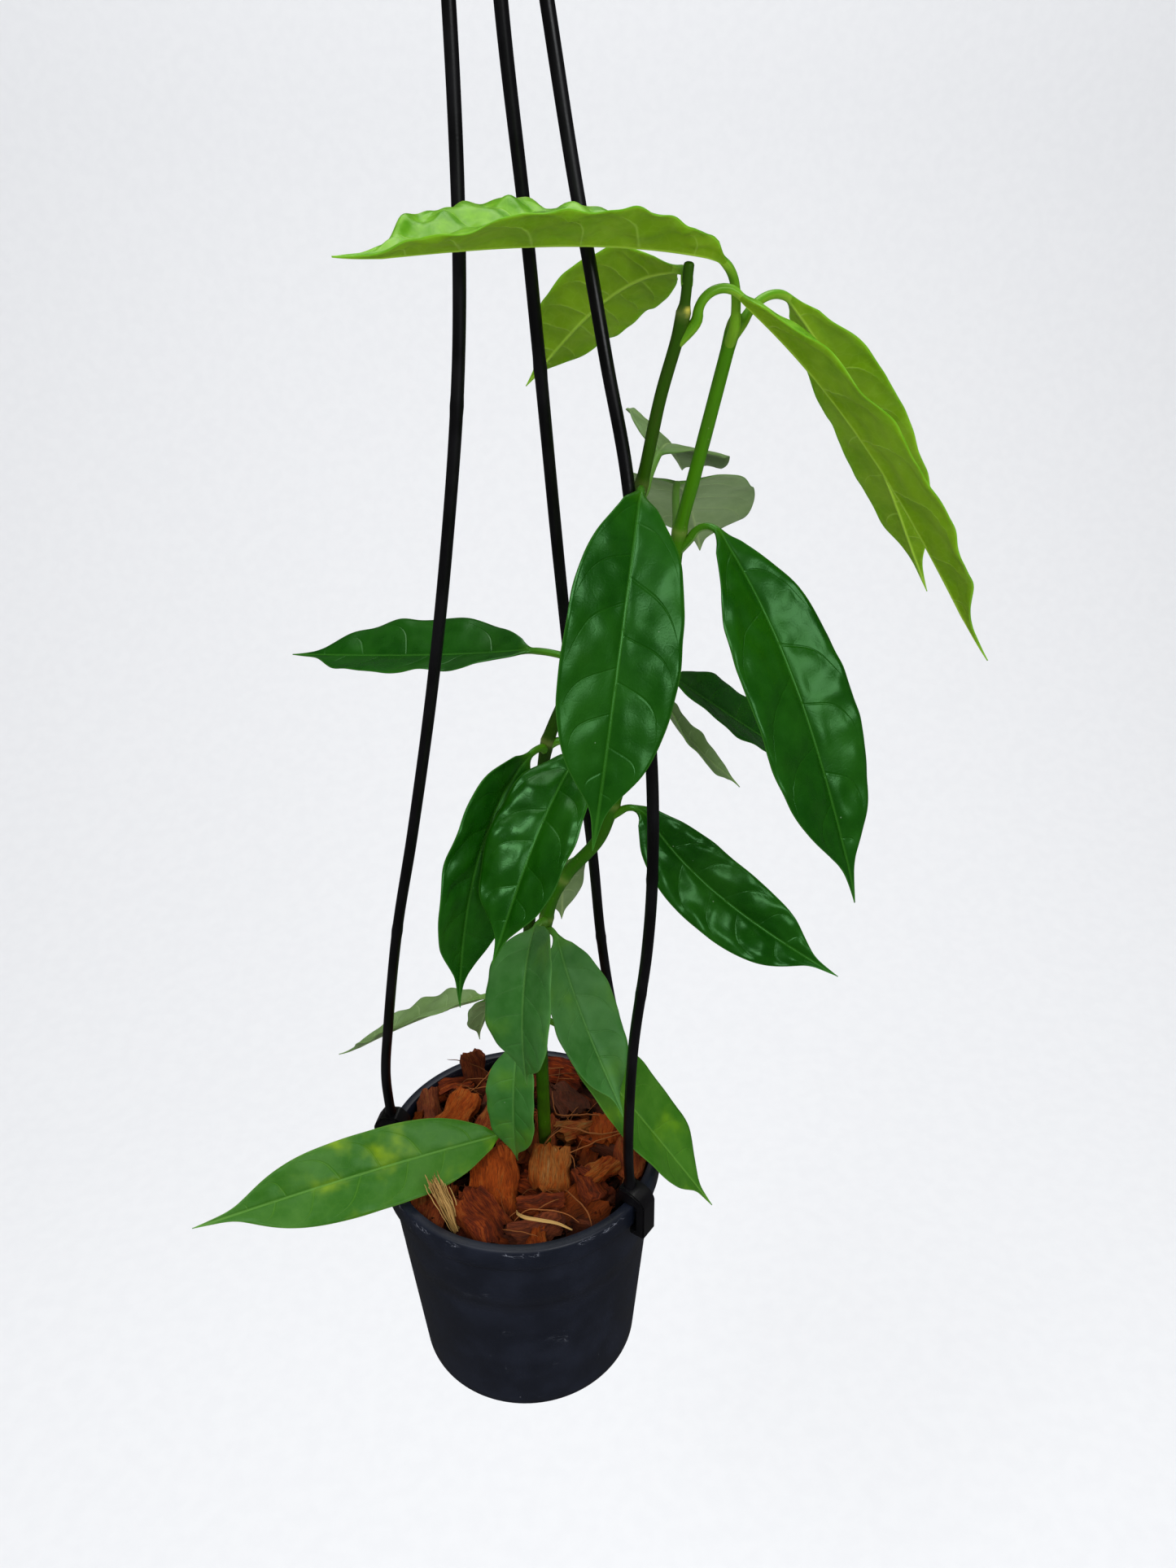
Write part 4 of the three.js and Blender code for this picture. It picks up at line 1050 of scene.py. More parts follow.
def build_stem(stem, finish):
    line = smooth_line(stem["points"], 13)
    z = line[:, 2]
    radii = stem_radius(stem, z)
    radii = radii * [1 + 0.03 * noise.noise(Vector(p * 0.12)) for p in line]
    mark = np.zeros(len(z))
    for node in stem["nodes"]:
        radii = radii + 0.16 * bell(z - node - 1.2, 0.7) - 0.08 * bell(z - node + 0.6, 0.8)
        mark = np.maximum(mark, bell(z - node - 1.0, 1.0))
    lengths = np.cumsum(np.linalg.norm(np.diff(line, axis=0, prepend=line[:1]), axis=1)) / 10
    corners, faces, pairs = mapped_tube(line, radii, STEM_SIDES, lengths, 0.7)
    piece = piece_from("hoya_" + stem["name"], corners, faces, [finish])
    ends = len(END_ROUNDING)
    mark = np.concatenate([[mark[0]] * ends, mark, [mark[-1]] * ends])
    set_values(piece.data, "node_mark", np.repeat(mark, STEM_SIDES))
    if "bud_scar" in stem:
        distance = np.linalg.norm(corners - np.array(stem["bud_scar"]), axis=1)
        set_values(piece.data, "bud_scar", held(1.6 - distance / 0.7))
    set_map(piece.data, "stem_map", pairs)
    put_on(piece, "stem", stem["name"])


# ------------------------------------------------------------------ black plastic
def plastic_finish(name, colour, sheen_colour, roughness, scratches, scratch_stretch, specular=0.5):
    """Moulded black plastic: slight cloudiness, orange peel, dust and short pale scratches."""
    finish, tree, shader = new_finish(name, roughness, specular)
    cloud = use_effect(tree, BLOTCHES, Size=14.0, Least=0.35, Most=0.7, Shift=0.4)["Patches"]
    marks = use_effect(tree, SCUFFS, Share=scratches, Scale=150.0, Stretch=scratch_stretch)["Scratches"]
    spots = use_effect(tree, SPECKS, Spacing=5.5, Spot=0.28, Share=0.22)["Spots"]
    colour = layered(tree, tint(tree, cloud, colour, sheen_colour), [
        (times(tree, marks, 0.5), (0.16, 0.17, 0.2)),
        (times(tree, spots, 0.5), (0.3, 0.31, 0.34)),
    ])
    rough = plus(tree, scaled(tree, cloud, 0.12, roughness - 0.06), times(tree, marks, 0.2))
    skin_height = use_effect(tree, FINE_SKIN, Grain=0.7)["Height"]
    normal = bump(tree, skin_height, 0.06, 0.5, bump(tree, marks, 0.04, -0.5))
    feed_skin(tree, shader, colour, rough, normal)
    return finish


def pot_finish():
    """The pot's plastic, with pale marks along the rounded outer edge of the lip: partly rubbed scratches,
    partly a painted highlight along that edge.
    """
    finish = plastic_finish(
        "pot_plastic", (0.0052, 0.0074, 0.0155), (0.009, 0.0125, 0.026), 0.46, 0.36, (1.0, 1.0, 5.0), 0.4)
    tree = finish.node_tree
    base = tree.nodes["Principled BSDF"].inputs["Base Color"]
    below_lip = times(tree, plus(tree, height_of(tree), HOOK_SEAT / 1000), -1000.0)
    # Painted highlight, in part: a pale bluish band of scratch-shaped marks 0.4 to 3 mm below the top of the
    # lip, on its rounded outer edge; the scratches in it are real wear as well.
    band = times(
        tree, soft_step(tree, below_lip, 0.4, 1.2), soft_step(tree, below_lip, 1.6, 3.0, 1.0, 0.0))
    rubbed = use_effect(tree, SCUFFS, Share=0.50, Scale=240.0, Stretch=(1.0, 1.0, 3.0))["Scratches"]
    worn = times(tree, times(tree, band, rubbed), 0.9)
    feed(tree, base, tint(tree, worn, base.links[0].from_socket, (0.32, 0.34, 0.4)))
    return finish


def inner_radius(z):
    bottom = POT_BASE - POT_WALL
    return bottom + (POT_LIP_INNER - bottom) * (z + POT_HEIGHT) / POT_HEIGHT


def wall_radius(z):
    """The outer radius of the wall below the band."""
    height = POT_HEIGHT - 1 - POT_BAND
    return POT_BASE + (POT_WALL_UNDER_BAND - POT_BASE) * (z + POT_HEIGHT - 1) / height


# The band and lip from outside to inside: how far within the rim's radius, and height.
LIP_OUTSIDE = [
    (0.9, -POT_BAND), (0.35, 0.3 - POT_BAND), (0, 1 - POT_BAND), (0.05, -5), (0, -1.3),
    (0.12, -0.75), (0.42, -0.28), (1, 0),
]
LIP_INSIDE = [(POT_LIP_INNER + 0.9, 0), (POT_LIP_INNER + 0.25, -0.15), (POT_LIP_INNER, -0.6)]
PARTING_LINE = -30.0
HARD_EDGE = 40
JOINED_EDGE = 38


def build_pot(finish):
    """The pot, turned with a soft lip and band, a fine parting line, and drain holes in its floor."""
    low = -POT_HEIGHT
    floor = low + POT_FLOOR
    heights = sorted([*np.linspace(low + 4, -POT_BAND - 1.2, 16), PARTING_LINE])
    wall = [(wall_radius(z) - 0.1 * (z == PARTING_LINE), z) for z in heights]
    inside = [(inner_radius(z), z) for z in np.linspace(-3, floor + 1.2, 12)]
    profile = [(0, low), (POT_BASE - 1, low), (POT_BASE, low + 1), *wall, (POT_WALL_UNDER_BAND, -POT_BAND)]
    profile += [(POT_RIM - within, z) for within, z in LIP_OUTSIDE] + LIP_INSIDE + inside
    profile += [(inner_radius(floor) - 1.0, floor), (0, floor)]
    pot = piece_from("moulded_pot", *turned(profile, 128), [finish], HARD_EDGE)
    wide = DRAIN_RADIUS + 0.4
    hole = [(0, low - 0.5), (wide, low - 0.5), (wide, low + 0.01), (DRAIN_RADIUS, low + 0.4),
            (DRAIN_RADIUS, floor + 1), (0, floor + 1)]
    for i in range(DRAIN_HOLES):
        bore(pot, hole, 32, on_circle(DRAIN_RING, 2 * math.pi * (i + 0.5) / DRAIN_HOLES), finish)
    put_on(pot, "black_plastic", "pot")


def clip_outline(foot):
    """Section of a strand's clip: an upside-down U that sits over the rim, with a shoulder."""
    return [(41.2, -6), (43.5, -6), (43.5, 0.4), (49.4, 0.4), (49.4, -9.4), (47, -9.4), (47, -12),
            (52.6, -12), (52.6, 1.6), (51, 4), (foot + 3, 5.4), (foot - 2.6, 6), (42.4, 4), (41.2, 2.4)]


def build_clip(bearing, foot, finish):
    outline = rounded(clip_outline(foot), 0.7, 3)
    shape = bmesh.new()
    base = shape.faces.new([shape.verts.new((r, -CLIP_WIDTH / 2, z)) for r, z in outline])
    made = bmesh.ops.extrude_face_region(shape, geom=[base])
    raised = [g for g in made["geom"] if isinstance(g, bmesh.types.BMVert)]
    bmesh.ops.translate(shape, verts=raised, vec=(0, CLIP_WIDTH, 0))
    bmesh.ops.recalc_face_normals(shape, faces=shape.faces)
    ends = [e for e in shape.edges if abs(e.verts[0].co.y - e.verts[1].co.y) < 1e-6]
    bmesh.ops.bevel(shape, geom=ends, offset=0.45, segments=2, affect="EDGES", clamp_overlap=True)
    turn = Matrix.Rotation(bearing, 4, "Z")
    corners = [turn @ v.co for v in shape.verts]
    shape.verts.index_update()
    faces = [tuple(v.index for v in f.verts) for f in shape.faces]
    shape.free()
    return piece_from("clip", corners, faces, [finish], HARD_EDGE)


def build_strand(name, finish):
    """A strand: a slightly bowed rod with small mould rings, standing on its clip."""
    bearing, foot, rings_at, path = STRANDS[name]
    bearing = math.radians(bearing)
    joined = [on_circle(HUB_RING, bearing, z) for z in (HUB_BOTTOM - 2, STRAND_TOP)]
    line = smooth_line([on_circle(foot, bearing, 4), *path, *joined], 14)
    z = line[:, 2]
    radii = np.array([STRAND_RADIUS * (1 + 0.025 * noise.noise(Vector(p * 0.05))) for p in line])
    radii = radii + 0.5 * bell(z - 6, 1.6)
    for ring in rings_at:
        radii = radii + 0.14 * bell(z - ring, 1.1)
    corners, faces = skin(tube_rings(line, radii, 22, flatten=0.97))
    rod = piece_from("moulded_" + name, corners, faces, [finish], HARD_EDGE)
    combine(rod, build_clip(bearing, foot, finish), "UNION")
    smooth_over(rod, JOINED_EDGE)
    put_on(rod, "black_plastic", name)


def build_hook(finish):
    """The hub that holds the three strands, with the hook moulded on top of it."""
    shoulder = HUB_RADIUS - HUB_NECK
    rim = [(1.5, 0), (0.45, 0.35), (0, 1.5), (0, 4), (0.25, 4.3), (0.25, 5), (0, 5.3)]
    profile = [(0, HUB_BOTTOM)] + [(HUB_RADIUS - within, HUB_BOTTOM + up) for within, up in rim]
    profile.append((HUB_RADIUS, HUB_TOP - shoulder))
    for t in np.linspace(0, 1, 7)[1:]:
        swell = math.sin(math.pi * t)
        r = HUB_RADIUS - (shoulder - 1.5) * t + 0.5 * swell
        profile.append((r, HUB_TOP - shoulder + (shoulder - 1) * t + 0.3 * swell))
    profile += [(HUB_NECK + 0.6, HUB_TOP - 0.35), (HUB_NECK - 0.4, HUB_TOP), (0, HUB_TOP)]
    hub = piece_from("moulded_hook", *turned(profile, 72), [finish], HARD_EDGE)
    path = [(0, 0, HUB_TOP - 4), (0, 0, HUB_TOP + 1), (4, 0, HUB_TOP + 6), (10.5, 0, HUB_TOP + 13)]
    for a in np.radians(np.arange(-22, 200.1, 18.5)):
        path.append((HOOK_RADIUS * math.cos(a), 0, HOOK_CENTRE + HOOK_RADIUS * math.sin(a)))
    line = smooth_line(path, 8)
    share = np.linspace(0, 1, len(line))
    radii = HOOK_ROD * (1 + 0.10 * bell(share, 0.06)) - 0.02 * np.sin(share * 40)
    radii = np.minimum(radii, HOOK_ROD)
    radii[:10] = HOOK_ROD
    bend = piece_from("hook_bend", *skin(tube_rings(line, radii, 28)), [finish], HARD_EDGE)
    combine(hub, bend, "UNION")
    wide = HUB_SOCKET + 0.3
    deep = STRAND_TOP + 0.35
    socket = [(0, HUB_BOTTOM - 1), (wide, HUB_BOTTOM - 1), (wide, HUB_BOTTOM),
              (HUB_SOCKET, HUB_BOTTOM + 0.4), (HUB_SOCKET, deep), (0, deep)]
    for bearing, *_ in STRANDS.values():
        bore(hub, socket, 28, on_circle(HUB_RING, math.radians(bearing)), finish)
    smooth_over(hub, JOINED_EDGE)
    put_on(hub, "black_plastic", "hanger_hook")


# ------------------------------------------------------------------ husk chips and fibres
# Colours of the husk, from its darkest (0), which in part paints the shade in its pits, to its palest fibres
# (1).
HUSK_TONES = {
    0.0: (0.006, 0.0020, 0.0010), 0.22: (0.030, 0.006, 0.0015), 0.42: (0.120, 0.014, 0.0020),
    0.58: (0.250, 0.040, 0.0040), 0.74: (0.300, 0.085, 0.0140), 0.90: (0.260, 0.125, 0.0300),
    1.0: (0.36, 0.22, 0.08),
}


def husk_finish():
    """Coconut husk: each chip of its own tone, in fibrous streaks whose dark lines are partly the fibres'
    own colour and partly painted crevice shade, with painted shade darkening the chips that lie lower in the
    bed.
    """
    finish, tree, shader = new_finish("husk_chips", 0.86, 0.08)
    flat = map_of(tree, "grain_map")
    coarse = use_effect(tree, STREAKS, Map=flat, Along=1.6, Across=9.0)["Streaks"]
    fine = use_effect(tree, STREAKS, Map=flat, Along=4.0, Across=42.0)["Streaks"]
    patches = use_effect(tree, BLOTCHES, Size=5.0, Least=0.3, Most=0.7, Shift=0.2)["Patches"]
    level = plus(tree, reading(tree, "tone"), scaled(tree, coarse, 0.9, -0.47))
    level = plus(tree, level, scaled(tree, patches, 0.18, -0.09))
    ramp = add(tree, "ShaderNodeValToRGB", {"Fac": level})
    first, last = ramp.color_ramp.elements
    first.color = whole_colour(HUSK_TONES[0.0])
    last.color = whole_colour(HUSK_TONES[1.0])
    for place, tone in HUSK_TONES.items():
        if 0 < place < 1:
            ramp.color_ramp.elements.new(place).color = whole_colour(tone)
    hue = reading(tree, "hue")
    # Painted shade: within the bed the chips are darkened by their height, to near black from 8 mm below the
    # rim down, for the shade in the gaps between the top chips.
    low = at_height(BED_TOP + 1)
    high = at_height(BED_TOP + 9)
    colour = layered(tree, ramp.outputs[0], [
        (soft_step(tree, hue, 0.55, 1.0, 0.0, 0.55), (0.115, 0.040, 0.022)),
        (soft_step(tree, hue, 0.0, 0.35, 0.45, 0.0), (0.330, 0.060, 0.006)),
        # Partly the fibres' own dark lines, partly painted shade in the crevices between them.
        (soft_step(tree, fine, 0.36, 0.56, 0.55, 0.0), (0.012, 0.004, 0.002)),
        (soft_step(tree, fine, 0.60, 0.80, 0.0, 0.22), (0.40, 0.17, 0.045)),
        (soft_step(tree, height_of(tree), low, high, 0.95, 0.0), (0.007, 0.003, 0.002)),
    ])
    normal = bump(tree, fine, 0.35, 0.9, bump(tree, coarse, 0.9, 0.8))
    feed_skin(tree, shader, colour, scaled(tree, fine, 0.3, 0.66), normal)
    return finish


def soil_finish():
    """The crumbs under the chips, near black: partly their own dark brown, partly painted shade for the gaps
    between the chips.
    """
    finish, tree, shader = new_finish("bed_crumbs", 0.8, 0.25)
    crumbs = use_effect(tree, BLOTCHES, Size=2.2, Least=0.35, Most=0.7, Shift=0.5)["Patches"]
    # Painted shade, in part: the crumbs are made near black so that the gaps between the chips look shaded.
    colour = tint(tree, crumbs, (0.004, 0.0018, 0.0012), (0.032, 0.010, 0.004))
    feed_skin(tree, shader, colour, scaled(tree, crumbs, 0.2, 0.7), bump(tree, crumbs, 0.8, 0.9))
    return finish


def fibre_finish(name, dark, pale):
    """Dry fibre: its own tone, with fine streaks along it."""
    finish, tree, shader = new_finish(name, 0.62, 0.12)
    lines = use_effect(tree, STREAKS, Map=map_of(tree, "grain_map"), Along=1.4, Across=14.0)["Streaks"]
    level = plus(tree, reading(tree, "tone"), scaled(tree, lines, 1.2, -0.6), clamp=True)
    rough = scaled(tree, lines, 0.3, 0.45)
    feed_skin(tree, shader, tint(tree, level, dark, pale), rough, bump(tree, lines, 0.12, 0.7))
    return finish


def chip_blank(cuts):
    """Corners and faces of a finely divided unit block, from which each chip is shaped."""
    shape = bmesh.new()
    bmesh.ops.create_cube(shape, size=1.0)
    bmesh.ops.subdivide_edges(shape, edges=shape.edges[:], cuts=cuts, use_grid_fill=True)
    shape.verts.index_update()
    corners = np.array([v.co for v in shape.verts], float)
    faces = [tuple(v.index for v in f.verts) for f in shape.faces]
    shape.free()
    return corners, faces


def shape_chip(blank, size, ragged, dice):
    """One fibrous chip about the origin with its grain along x, and its grain map."""
    p = blank * 2
    ball = unit(p) * 1.25
    soft = dice.uniform(0.10, 0.30)
    p = (p * (1 - soft) + ball * soft) * size / 2
    along = p[:, 0] / size[0] + 0.5
    taper = dice.uniform(0.0, 0.45)
    p[:, 1] *= 1 - taper * along
    p[:, 2] *= 1 - 0.5 * taper * along
    bend = dice.uniform(-0.012, 0.012)
    skew = dice.uniform(-0.25, 0.25)
    seat = Vector((dice.uniform(0, 90), dice.uniform(0, 90), dice.uniform(0, 90)))
    at_end = np.abs(blank[:, 0] * 2) ** 6
    made = p.copy()
    for i, q in enumerate(p):
        q = Vector(q)
        lump = noise.noise_vector(q * 0.13 + seat)
        ridge = noise.noise(Vector((q.x * 0.05, q.y * 0.55, q.z * 0.55)) + seat * 1.7)
        crumb = noise.noise_vector(q * 0.55 + seat * 2.3)
        fray = noise.noise(Vector((0.0, q.y * 0.9, q.z * 0.9)) + seat * 3.1)
        across = Vector((0, blank[i, 1], blank[i, 2]))
        made[i] += np.array(lump * 2.0 + crumb * 0.5 + across * ridge * 2.6)
        made[i, 0] += math.copysign(at_end[i], q.x) * fray * ragged * 2.2
    made[:, 2] += bend * made[:, 0] ** 2
    made[:, 1] += skew * made[:, 0] * 0.5
    pairs = np.stack([p[:, 0], p[:, 1] + p[:, 2] * 1.3], -1) / 10
    return made, pairs + np.array([dice.uniform(0, 30), dice.uniform(0, 30)])


def laid(points, place, bearing, tilt, roll):
    """Points turned and moved to where a chip lies."""
    turn = np.eye(3)
    for angle, axis in ((bearing, "Z"), (-tilt, "Y"), (roll, "X")):
        turn = turn @ np.array(Matrix.Rotation(math.radians(angle), 3, axis))
    return points @ turn.T + np.array(place)


CLIP_ROOM = 40.7
HUSK_SEED = 23
BURIED_CHIPS = 150
BURIED_TONES = [0.12, 0.2, 0.3, 0.4, 0.46, 0.5, 0.54, 0.6]
FIBRE_SEED = 5
SHORT_FIBRES = 70
CURL_HALF = 0.6
# Section of the curled strip: shares of its half width, and heights.
CURL_SECTION = [
    (-1, 0.12), (-0.5, 0.25), (0, 0.30), (0.5, 0.25), (1, 0.12), (1, -0.12), (0.5, -0.1), (0, -0.06),
    (-0.5, -0.1), (-1, -0.12),
]


def kept_in_pot(points):
    """Draws points in where they would pass the pot's inner wall or the room of a clip."""
    r = np.hypot(points[:, 0], points[:, 1])
    limit = np.minimum(inner_radius(np.minimum(points[:, 2], 0.0)) - 0.5, POT_LIP_INNER - 0.6)
    points[:, :2] *= np.minimum(1, limit / np.maximum(r, 1e-6))[:, None]
    for bearing, *_ in STRANDS.values():
        outwards = on_circle(1, math.radians(bearing))[:2]
        along = points[:, :2] @ outwards
        beside = points[:, :2] @ np.array([-outwards[1], outwards[0]])
        inside = (np.abs(beside) < CLIP_WIDTH / 2 + 0.6) & (along > CLIP_ROOM) & (points[:, 2] > -7)
        points[inside, :2] -= np.outer(along[inside] - CLIP_ROOM, outwards)
    return points


def strewn(name, parts, finishes, **more):
    """One piece from many parts, each with its corners, faces, grain map and tone."""
    corners = np.vstack([p[0] for p in parts])
    tones = np.concatenate([np.full(len(p[0]), p[3]) for p in parts])
    faces = []
    start = 0
    for points, own, _, _ in parts:
        faces += [tuple(start + i for i in f) for f in own]
        start += len(points)
    piece = piece_from(name, corners, faces, finishes, **more)
    set_values(piece.data, "tone", tones)
    set_map(piece.data, "grain_map", np.vstack([p[2] for p in parts]))
    return piece


def build_husk(finish, soil):
    """A heap of husk chips on dark crumbs that fill the pot."""
    dice = random.Random(HUSK_SEED)
    blank, blank_faces = chip_blank(6)
    rows = [*TOP_CHIPS, STANDING_CHIP]
    for i in range(BURIED_CHIPS):
        r = 40 * math.sqrt((i + 0.5) / BURIED_CHIPS)
        a = i * math.pi * (3 - math.sqrt(5)) + dice.uniform(-0.2, 0.2)
        place = on_circle(r, a, dice.uniform(-12.5, -6.0))
        size = (dice.uniform(9, 18), dice.uniform(6, 12), dice.uniform(3.5, 7))
        tone = dice.choice(BURIED_TONES)
        turns = (dice.uniform(0, 180), dice.uniform(-30, 30), dice.uniform(-30, 30))
        rows.append((*place, *size, *turns, tone, dice.uniform(0.8, 2.0)))
    parts = []
    for *sizes, tone, ragged in rows:
        points, pairs = shape_chip(blank, np.array(sizes[3:6]), ragged, dice)
        points = kept_in_pot(laid(points, sizes[:3], *sizes[6:]))
        parts.append((points, blank_faces, pairs, tone))
    husk = strewn("husk_chips", parts, [finish, soil], sharp_above=50, turn_out=False)
    set_values(husk.data, "hue", np.repeat([dice.random() for _ in parts], len(blank)))
    put_on(husk, "husk", "husk_bed")


def build_crumbs(soil):
    """The crumbs under the chips: a turned filling with an uneven top and side."""
    bottom = -POT_HEIGHT + POT_FLOOR + 0.4
    top = BED_TOP + 0.6
    profile = [(0, bottom)] + [(inner_radius(z) - 0.5, z) for z in (bottom, *np.linspace(-70, BED_TOP, 8))]
    profile += [(r, top) for r in np.linspace(41, 1.5, 26)] + [(0, top)]
    corners, faces = turned(profile, 96)
    for q in corners:
        if q[2] >= BED_TOP - 0.01:
            q[2] += 1.4 * noise.noise(Vector((q[0] * 0.3, q[1] * 0.3, 4.0))) - 0.6
        elif -66 < q[2] < BED_TOP - 1:
            q[:2] *= 1 - 0.02 * max(0.0, noise.noise(Vector(q * 0.25)))
    put_on(piece_from("bed_crumbs", corners, faces, [soil], 60), "husk")


def fibre_part(points, radius, tone, dice, per_span=8, sides=7):
    """One bent fibre, as a part to strew."""
    line = smooth_line(points, per_span)
    share = np.linspace(0, 1, len(line))
    radii = radius * (0.35 + 0.65 * np.sin(np.pi * share) ** 0.5)
    shift = Vector((radius * 90, 0, 0))
    line = line + np.array([noise.noise_vector(Vector(p * 0.25) + shift) for p in line]) * 0.5
    corners, faces, pairs = mapped_tube(
        line, radii, sides, share * 2, 0.2, start=(0.3, 0.4, 1), flatten=0.75)
    return corners, faces, pairs + dice.uniform(0, 20), tone


def short_fibre(dice):
    """Points of a short fibre that arches over the chips, drawn in where it would pass the pot."""
    a = dice.uniform(0, 2 * math.pi)
    middle = on_circle(38 * math.sqrt(dice.random()), a)
    b = dice.uniform(0, 2 * math.pi)
    reach = dice.uniform(4, 9)
    z = dice.uniform(-4.5, 0.5)
    points = np.array([middle - on_circle(reach, b), middle, middle + on_circle(reach, b + 0.5)])
    points[:, 2] = (z - 2, z + 1, z - 2)
    points[:, :2] *= np.minimum(1, 41 / np.maximum(1, np.hypot(points[:, 0], points[:, 1])))[:, None]
    return points


def build_fibres(brown):
    """Loose brown fibres over the chips."""
    dice = random.Random(FIBRE_SEED)
    parts = [fibre_part(points, radius, dice.uniform(0.3, 0.9), dice) for radius, points in FIBRES]
    for _ in range(SHORT_FIBRES):
        points = short_fibre(dice)
        parts.append(fibre_part(points, dice.uniform(0.08, 0.18), dice.uniform(0.1, 0.8), dice))
    put_on(strewn("husk_fibres", parts, [brown]), "husk")
    return dice


def build_tuft(tan, dice):
    """The frayed tan tuft and the pale curled strip."""
    foot, middle, top = np.array([TUFT_FOOT, TUFT_MIDDLE, TUFT_TOP])
    parts = []
    for _ in range(TUFT_FIBRES):
        spread = np.array([dice.gauss(0, 1), dice.gauss(0, 1), 0])
        end = top + spread * np.array([1.5, 1.2, 0]) + np.array([0, 0, dice.uniform(-6, 0.5)])
        points = [foot + spread * 0.6, middle + spread * np.array([1.2, 0.9, 0]), end]
        parts.append(fibre_part(points, dice.uniform(0.16, 0.30), dice.uniform(0.1, 1.0), dice, 7, 6))
    line = smooth_line(CURLED_STRIP, 12)
    _, across, over = carried_sides(line, (0.1, -0.5, 1))
    share = np.linspace(0, 1, len(line))
    half = CURL_HALF * np.sin(np.pi * held(share * 0.9 + 0.06)) ** 0.6
    rings = [line + across * half[:, None] * u + over * (h + 0.35 * u * u) for u, h in CURL_SECTION]
    corners, faces = skin(np.stack(rings, 1))
    around = [u * 0.1 for u, _ in CURL_SECTION]
    pairs = np.stack([np.repeat(share * 2, len(around)), np.tile(around, len(line))], -1)
    parts.append((corners, faces, pairs, 0.7))
    put_on(strewn("husk_tuft", parts, [tan]), "husk")


# ------------------------------------------------------------------ studio
CAMERA_AT = (0.0, -0.3157, -0.1799)
CAMERA_YAW = 4.49
CAMERA_PITCH = 28.39
CAMERA_ROLL = -0.81
PHOTO_FOCUS = 1500.0
PHOTO_HEIGHT = 1927.0
SENSOR = 36.0
FLOOR_AT = -1.25
WALL_AT = 1.9
SWEEP_RADIUS = 1.1
SWEEP_STEPS = 24
LAMPS_AIM = (0, 0, -0.28)
ROOM_LIGHT = 0.66
ROOM_MIRRORED = 0.07


def make_camera():
    data = bpy.data.cameras.new("photo_camera")
    data.sensor_fit = "AUTO"
    data.sensor_width = SENSOR
    data.lens = PHOTO_FOCUS * SENSOR / PHOTO_HEIGHT
    data.clip_start = 0.01
    data.clip_end = 50
    data.dof.use_dof = False
    camera = placed("photo_camera", data)
    aim = Matrix.Translation(CAMERA_AT)
    for angle, axis in ((-CAMERA_YAW, "Z"), (90 - CAMERA_PITCH, "X"), (CAMERA_ROLL, "Z")):
        aim = aim @ Matrix.Rotation(math.radians(angle), 4, axis)
    camera.matrix_world = aim
    bpy.context.scene.camera = camera


def paper_finish():
    """Matt white paper, very slightly mottled."""
    finish, tree, shader = new_finish("studio_paper", 0.9, 0.1)
    cloud = cloudy(tree, place_of(tree), 60.0, 6.0)[0]
    colour = tint(tree, soft_step(tree, cloud, 0.3, 0.7), (0.812, 0.822, 0.838), (0.830, 0.840, 0.854))
    feed(tree, shader["Base Color"], colour)
    feed(tree, shader["Normal"], bump(tree, cloud, 1.0, 0.1))
    return finish


def make_studio():
    """A pale floor that sweeps up into a wall well behind the plant."""
    centre = WALL_AT - SWEEP_RADIUS
    outline = [(-4.0, FLOOR_AT), (centre, FLOOR_AT)]
    for a in np.radians(np.linspace(0, 90, SWEEP_STEPS + 1)[1:]):
        outline.append((centre + SWEEP_RADIUS * math.sin(a), FLOOR_AT + SWEEP_RADIUS * (1 - math.cos(a))))
    outline.append((WALL_AT, 2.6))
    corners = [(x, y, z) for y, z in outline for x in (-5.0, 5.0)]
    faces = [(2 * i, 2 * i + 1, 2 * i + 3, 2 * i + 2) for i in range(len(outline) - 1)]
    mesh = bpy.data.meshes.new("studio_sweep")
    mesh.from_pydata(corners, [], faces)
    mesh.materials.append(paper_finish())
    mesh.shade_smooth()
    backdrop = placed("studio_sweep", mesh)
    backdrop.visible_glossy = False


def make_lamp(name, at, target, size, power, colour):
    data = bpy.data.lights.new(name, "AREA")
    data.shape = "RECTANGLE"
    data.size, data.size_y = size
    data.energy = power
    data.color = colour
    aim = (Vector(target) - Vector(at)).to_track_quat("-Z", "Y")
    placed(name, data).matrix_world = Matrix.Translation(at) @ aim.to_matrix().to_4x4()


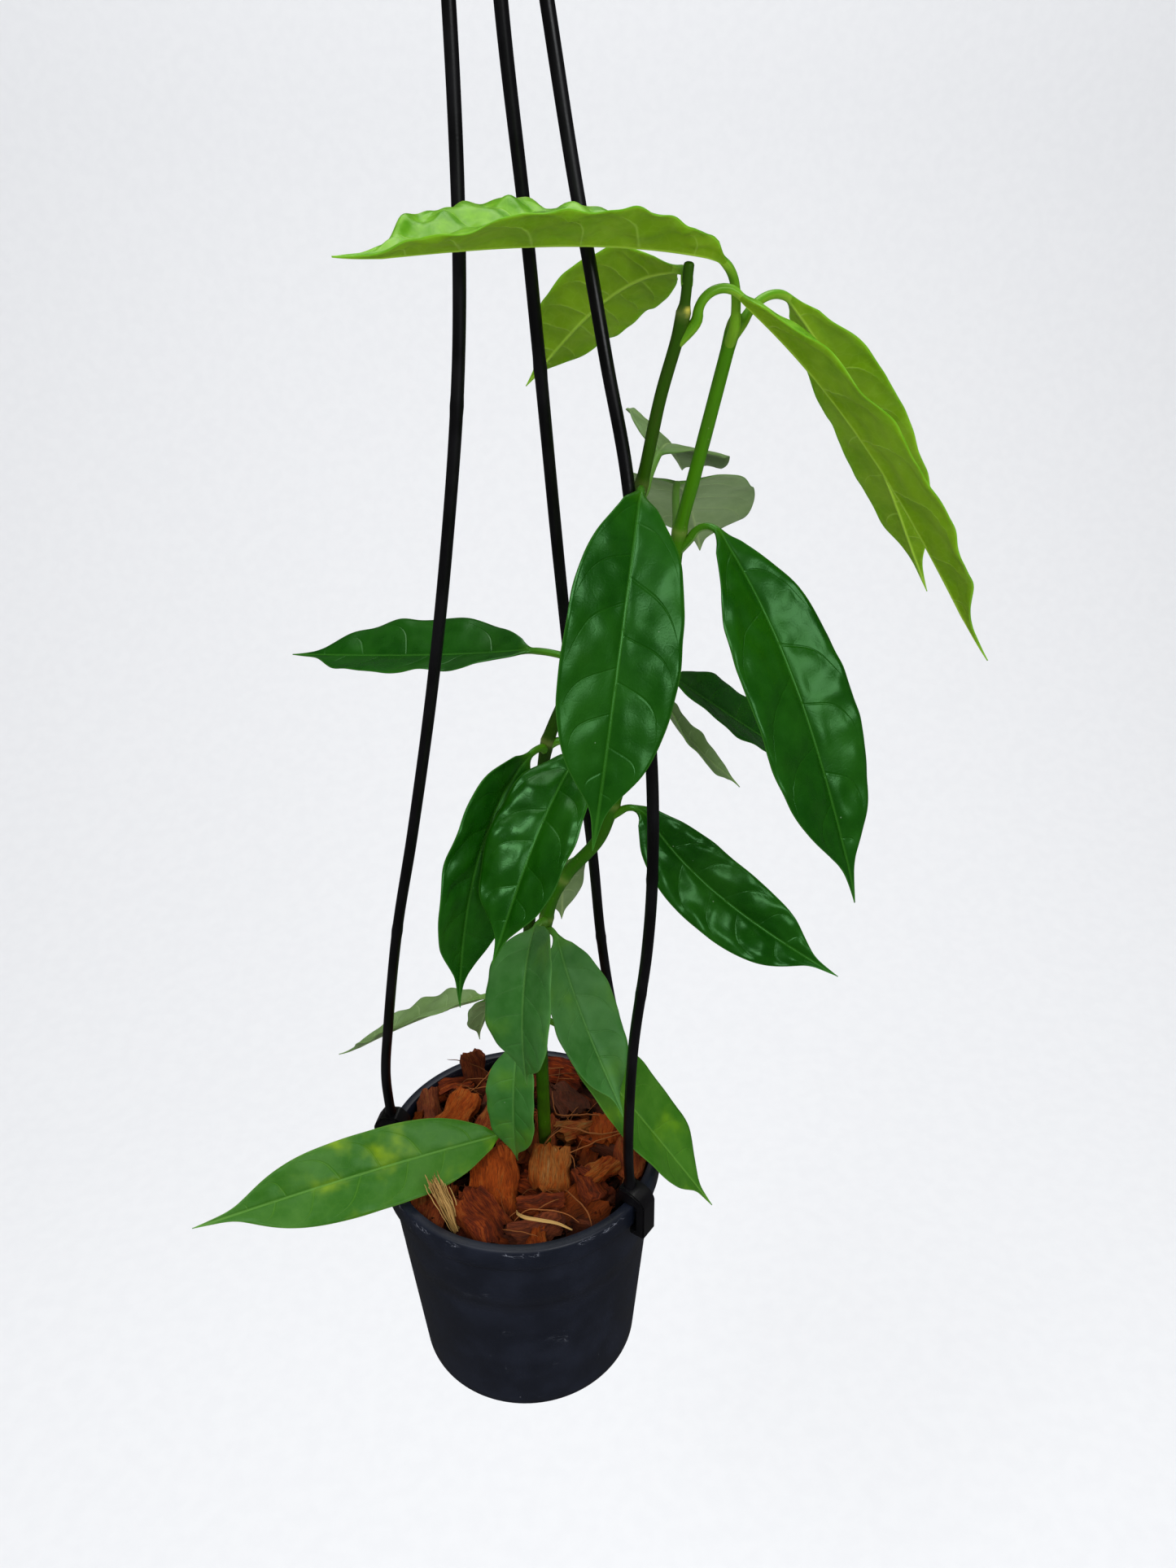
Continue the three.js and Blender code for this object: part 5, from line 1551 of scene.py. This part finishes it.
def make_light():
    """A broad soft window behind the camera, a softer one overhead, and a pale room whose
    mirror images are kept faint, so that dark green and black stay deep."""
    scene = bpy.context.scene
    world = bpy.data.worlds.new("pale_room")
    world.use_nodes = True
    tree = world.node_tree
    room = tree.nodes["Background"]
    room.inputs[0].default_value = (0.970, 0.964, 0.982, 1)
    ray = add(tree, "ShaderNodeLightPath").outputs["Is Glossy Ray"]
    feed(tree, room.inputs[1], scaled(tree, ray, ROOM_MIRRORED - ROOM_LIGHT, ROOM_LIGHT))
    scene.world = world
    make_lamp("window_right", (0.665, -1.25, 0.35), LAMPS_AIM, (0.8, 0.6), 8, (0.95, 0.98, 1.0))
    make_lamp("window_left", (-0.60, -0.86, 0.98), LAMPS_AIM, (0.6, 0.5), 9, (0.96, 0.99, 1.0))
    make_lamp("window_above", (0.3, 0.6, 1.5), (0, 0.2, -0.4), (1.6, 1.6), 24, (1.0, 0.99, 0.97))
    scene.view_settings.view_transform = "Standard"
    scene.view_settings.look = "None"


# ------------------------------------------------------------------ everything together
make_camera()
make_studio()
make_light()
leaf_finishes = {
    name: leaf_finish(name, *colours, **LEAF_TRAITS.get(name, {})) for name, colours in LEAF_COLOURS.items()}
for leaf_name in LEAF_HABIT:
    build_leaf(leaf_name)
build_stem(OLDER_STEM, stem_finish(
    "stem_older_green", (0.042, 0.052, 0.006), (0.010, 0.042, 0.0003), (0.024, 0.082, 0.0003), 120, 280))
build_stem(YOUNGER_STEM, stem_finish(
    "stem_younger_green", (0.036, 0.080, 0.003), (0.022, 0.115, 0.0004), (0.055, 0.200, 0.0006), 110, 272))
strand_plastic = plastic_finish(
    "strand_plastic", (0.0016, 0.0015, 0.0018), (0.004, 0.0035, 0.005), 0.36, 0.30, (4.0, 4.0, 0.5), 0.35)
build_pot(pot_finish())
for strand_name in STRANDS:
    build_strand(strand_name, strand_plastic)
build_hook(strand_plastic)
soil = soil_finish()
build_husk(husk_finish(), soil)
build_crumbs(soil)
fibre_dice = build_fibres(fibre_finish("brown_fibre", (0.04, 0.010, 0.003), (0.34, 0.115, 0.030)))
build_tuft(fibre_finish("tan_fibre", (0.13, 0.065, 0.012), (0.62, 0.38, 0.13)), fibre_dice)
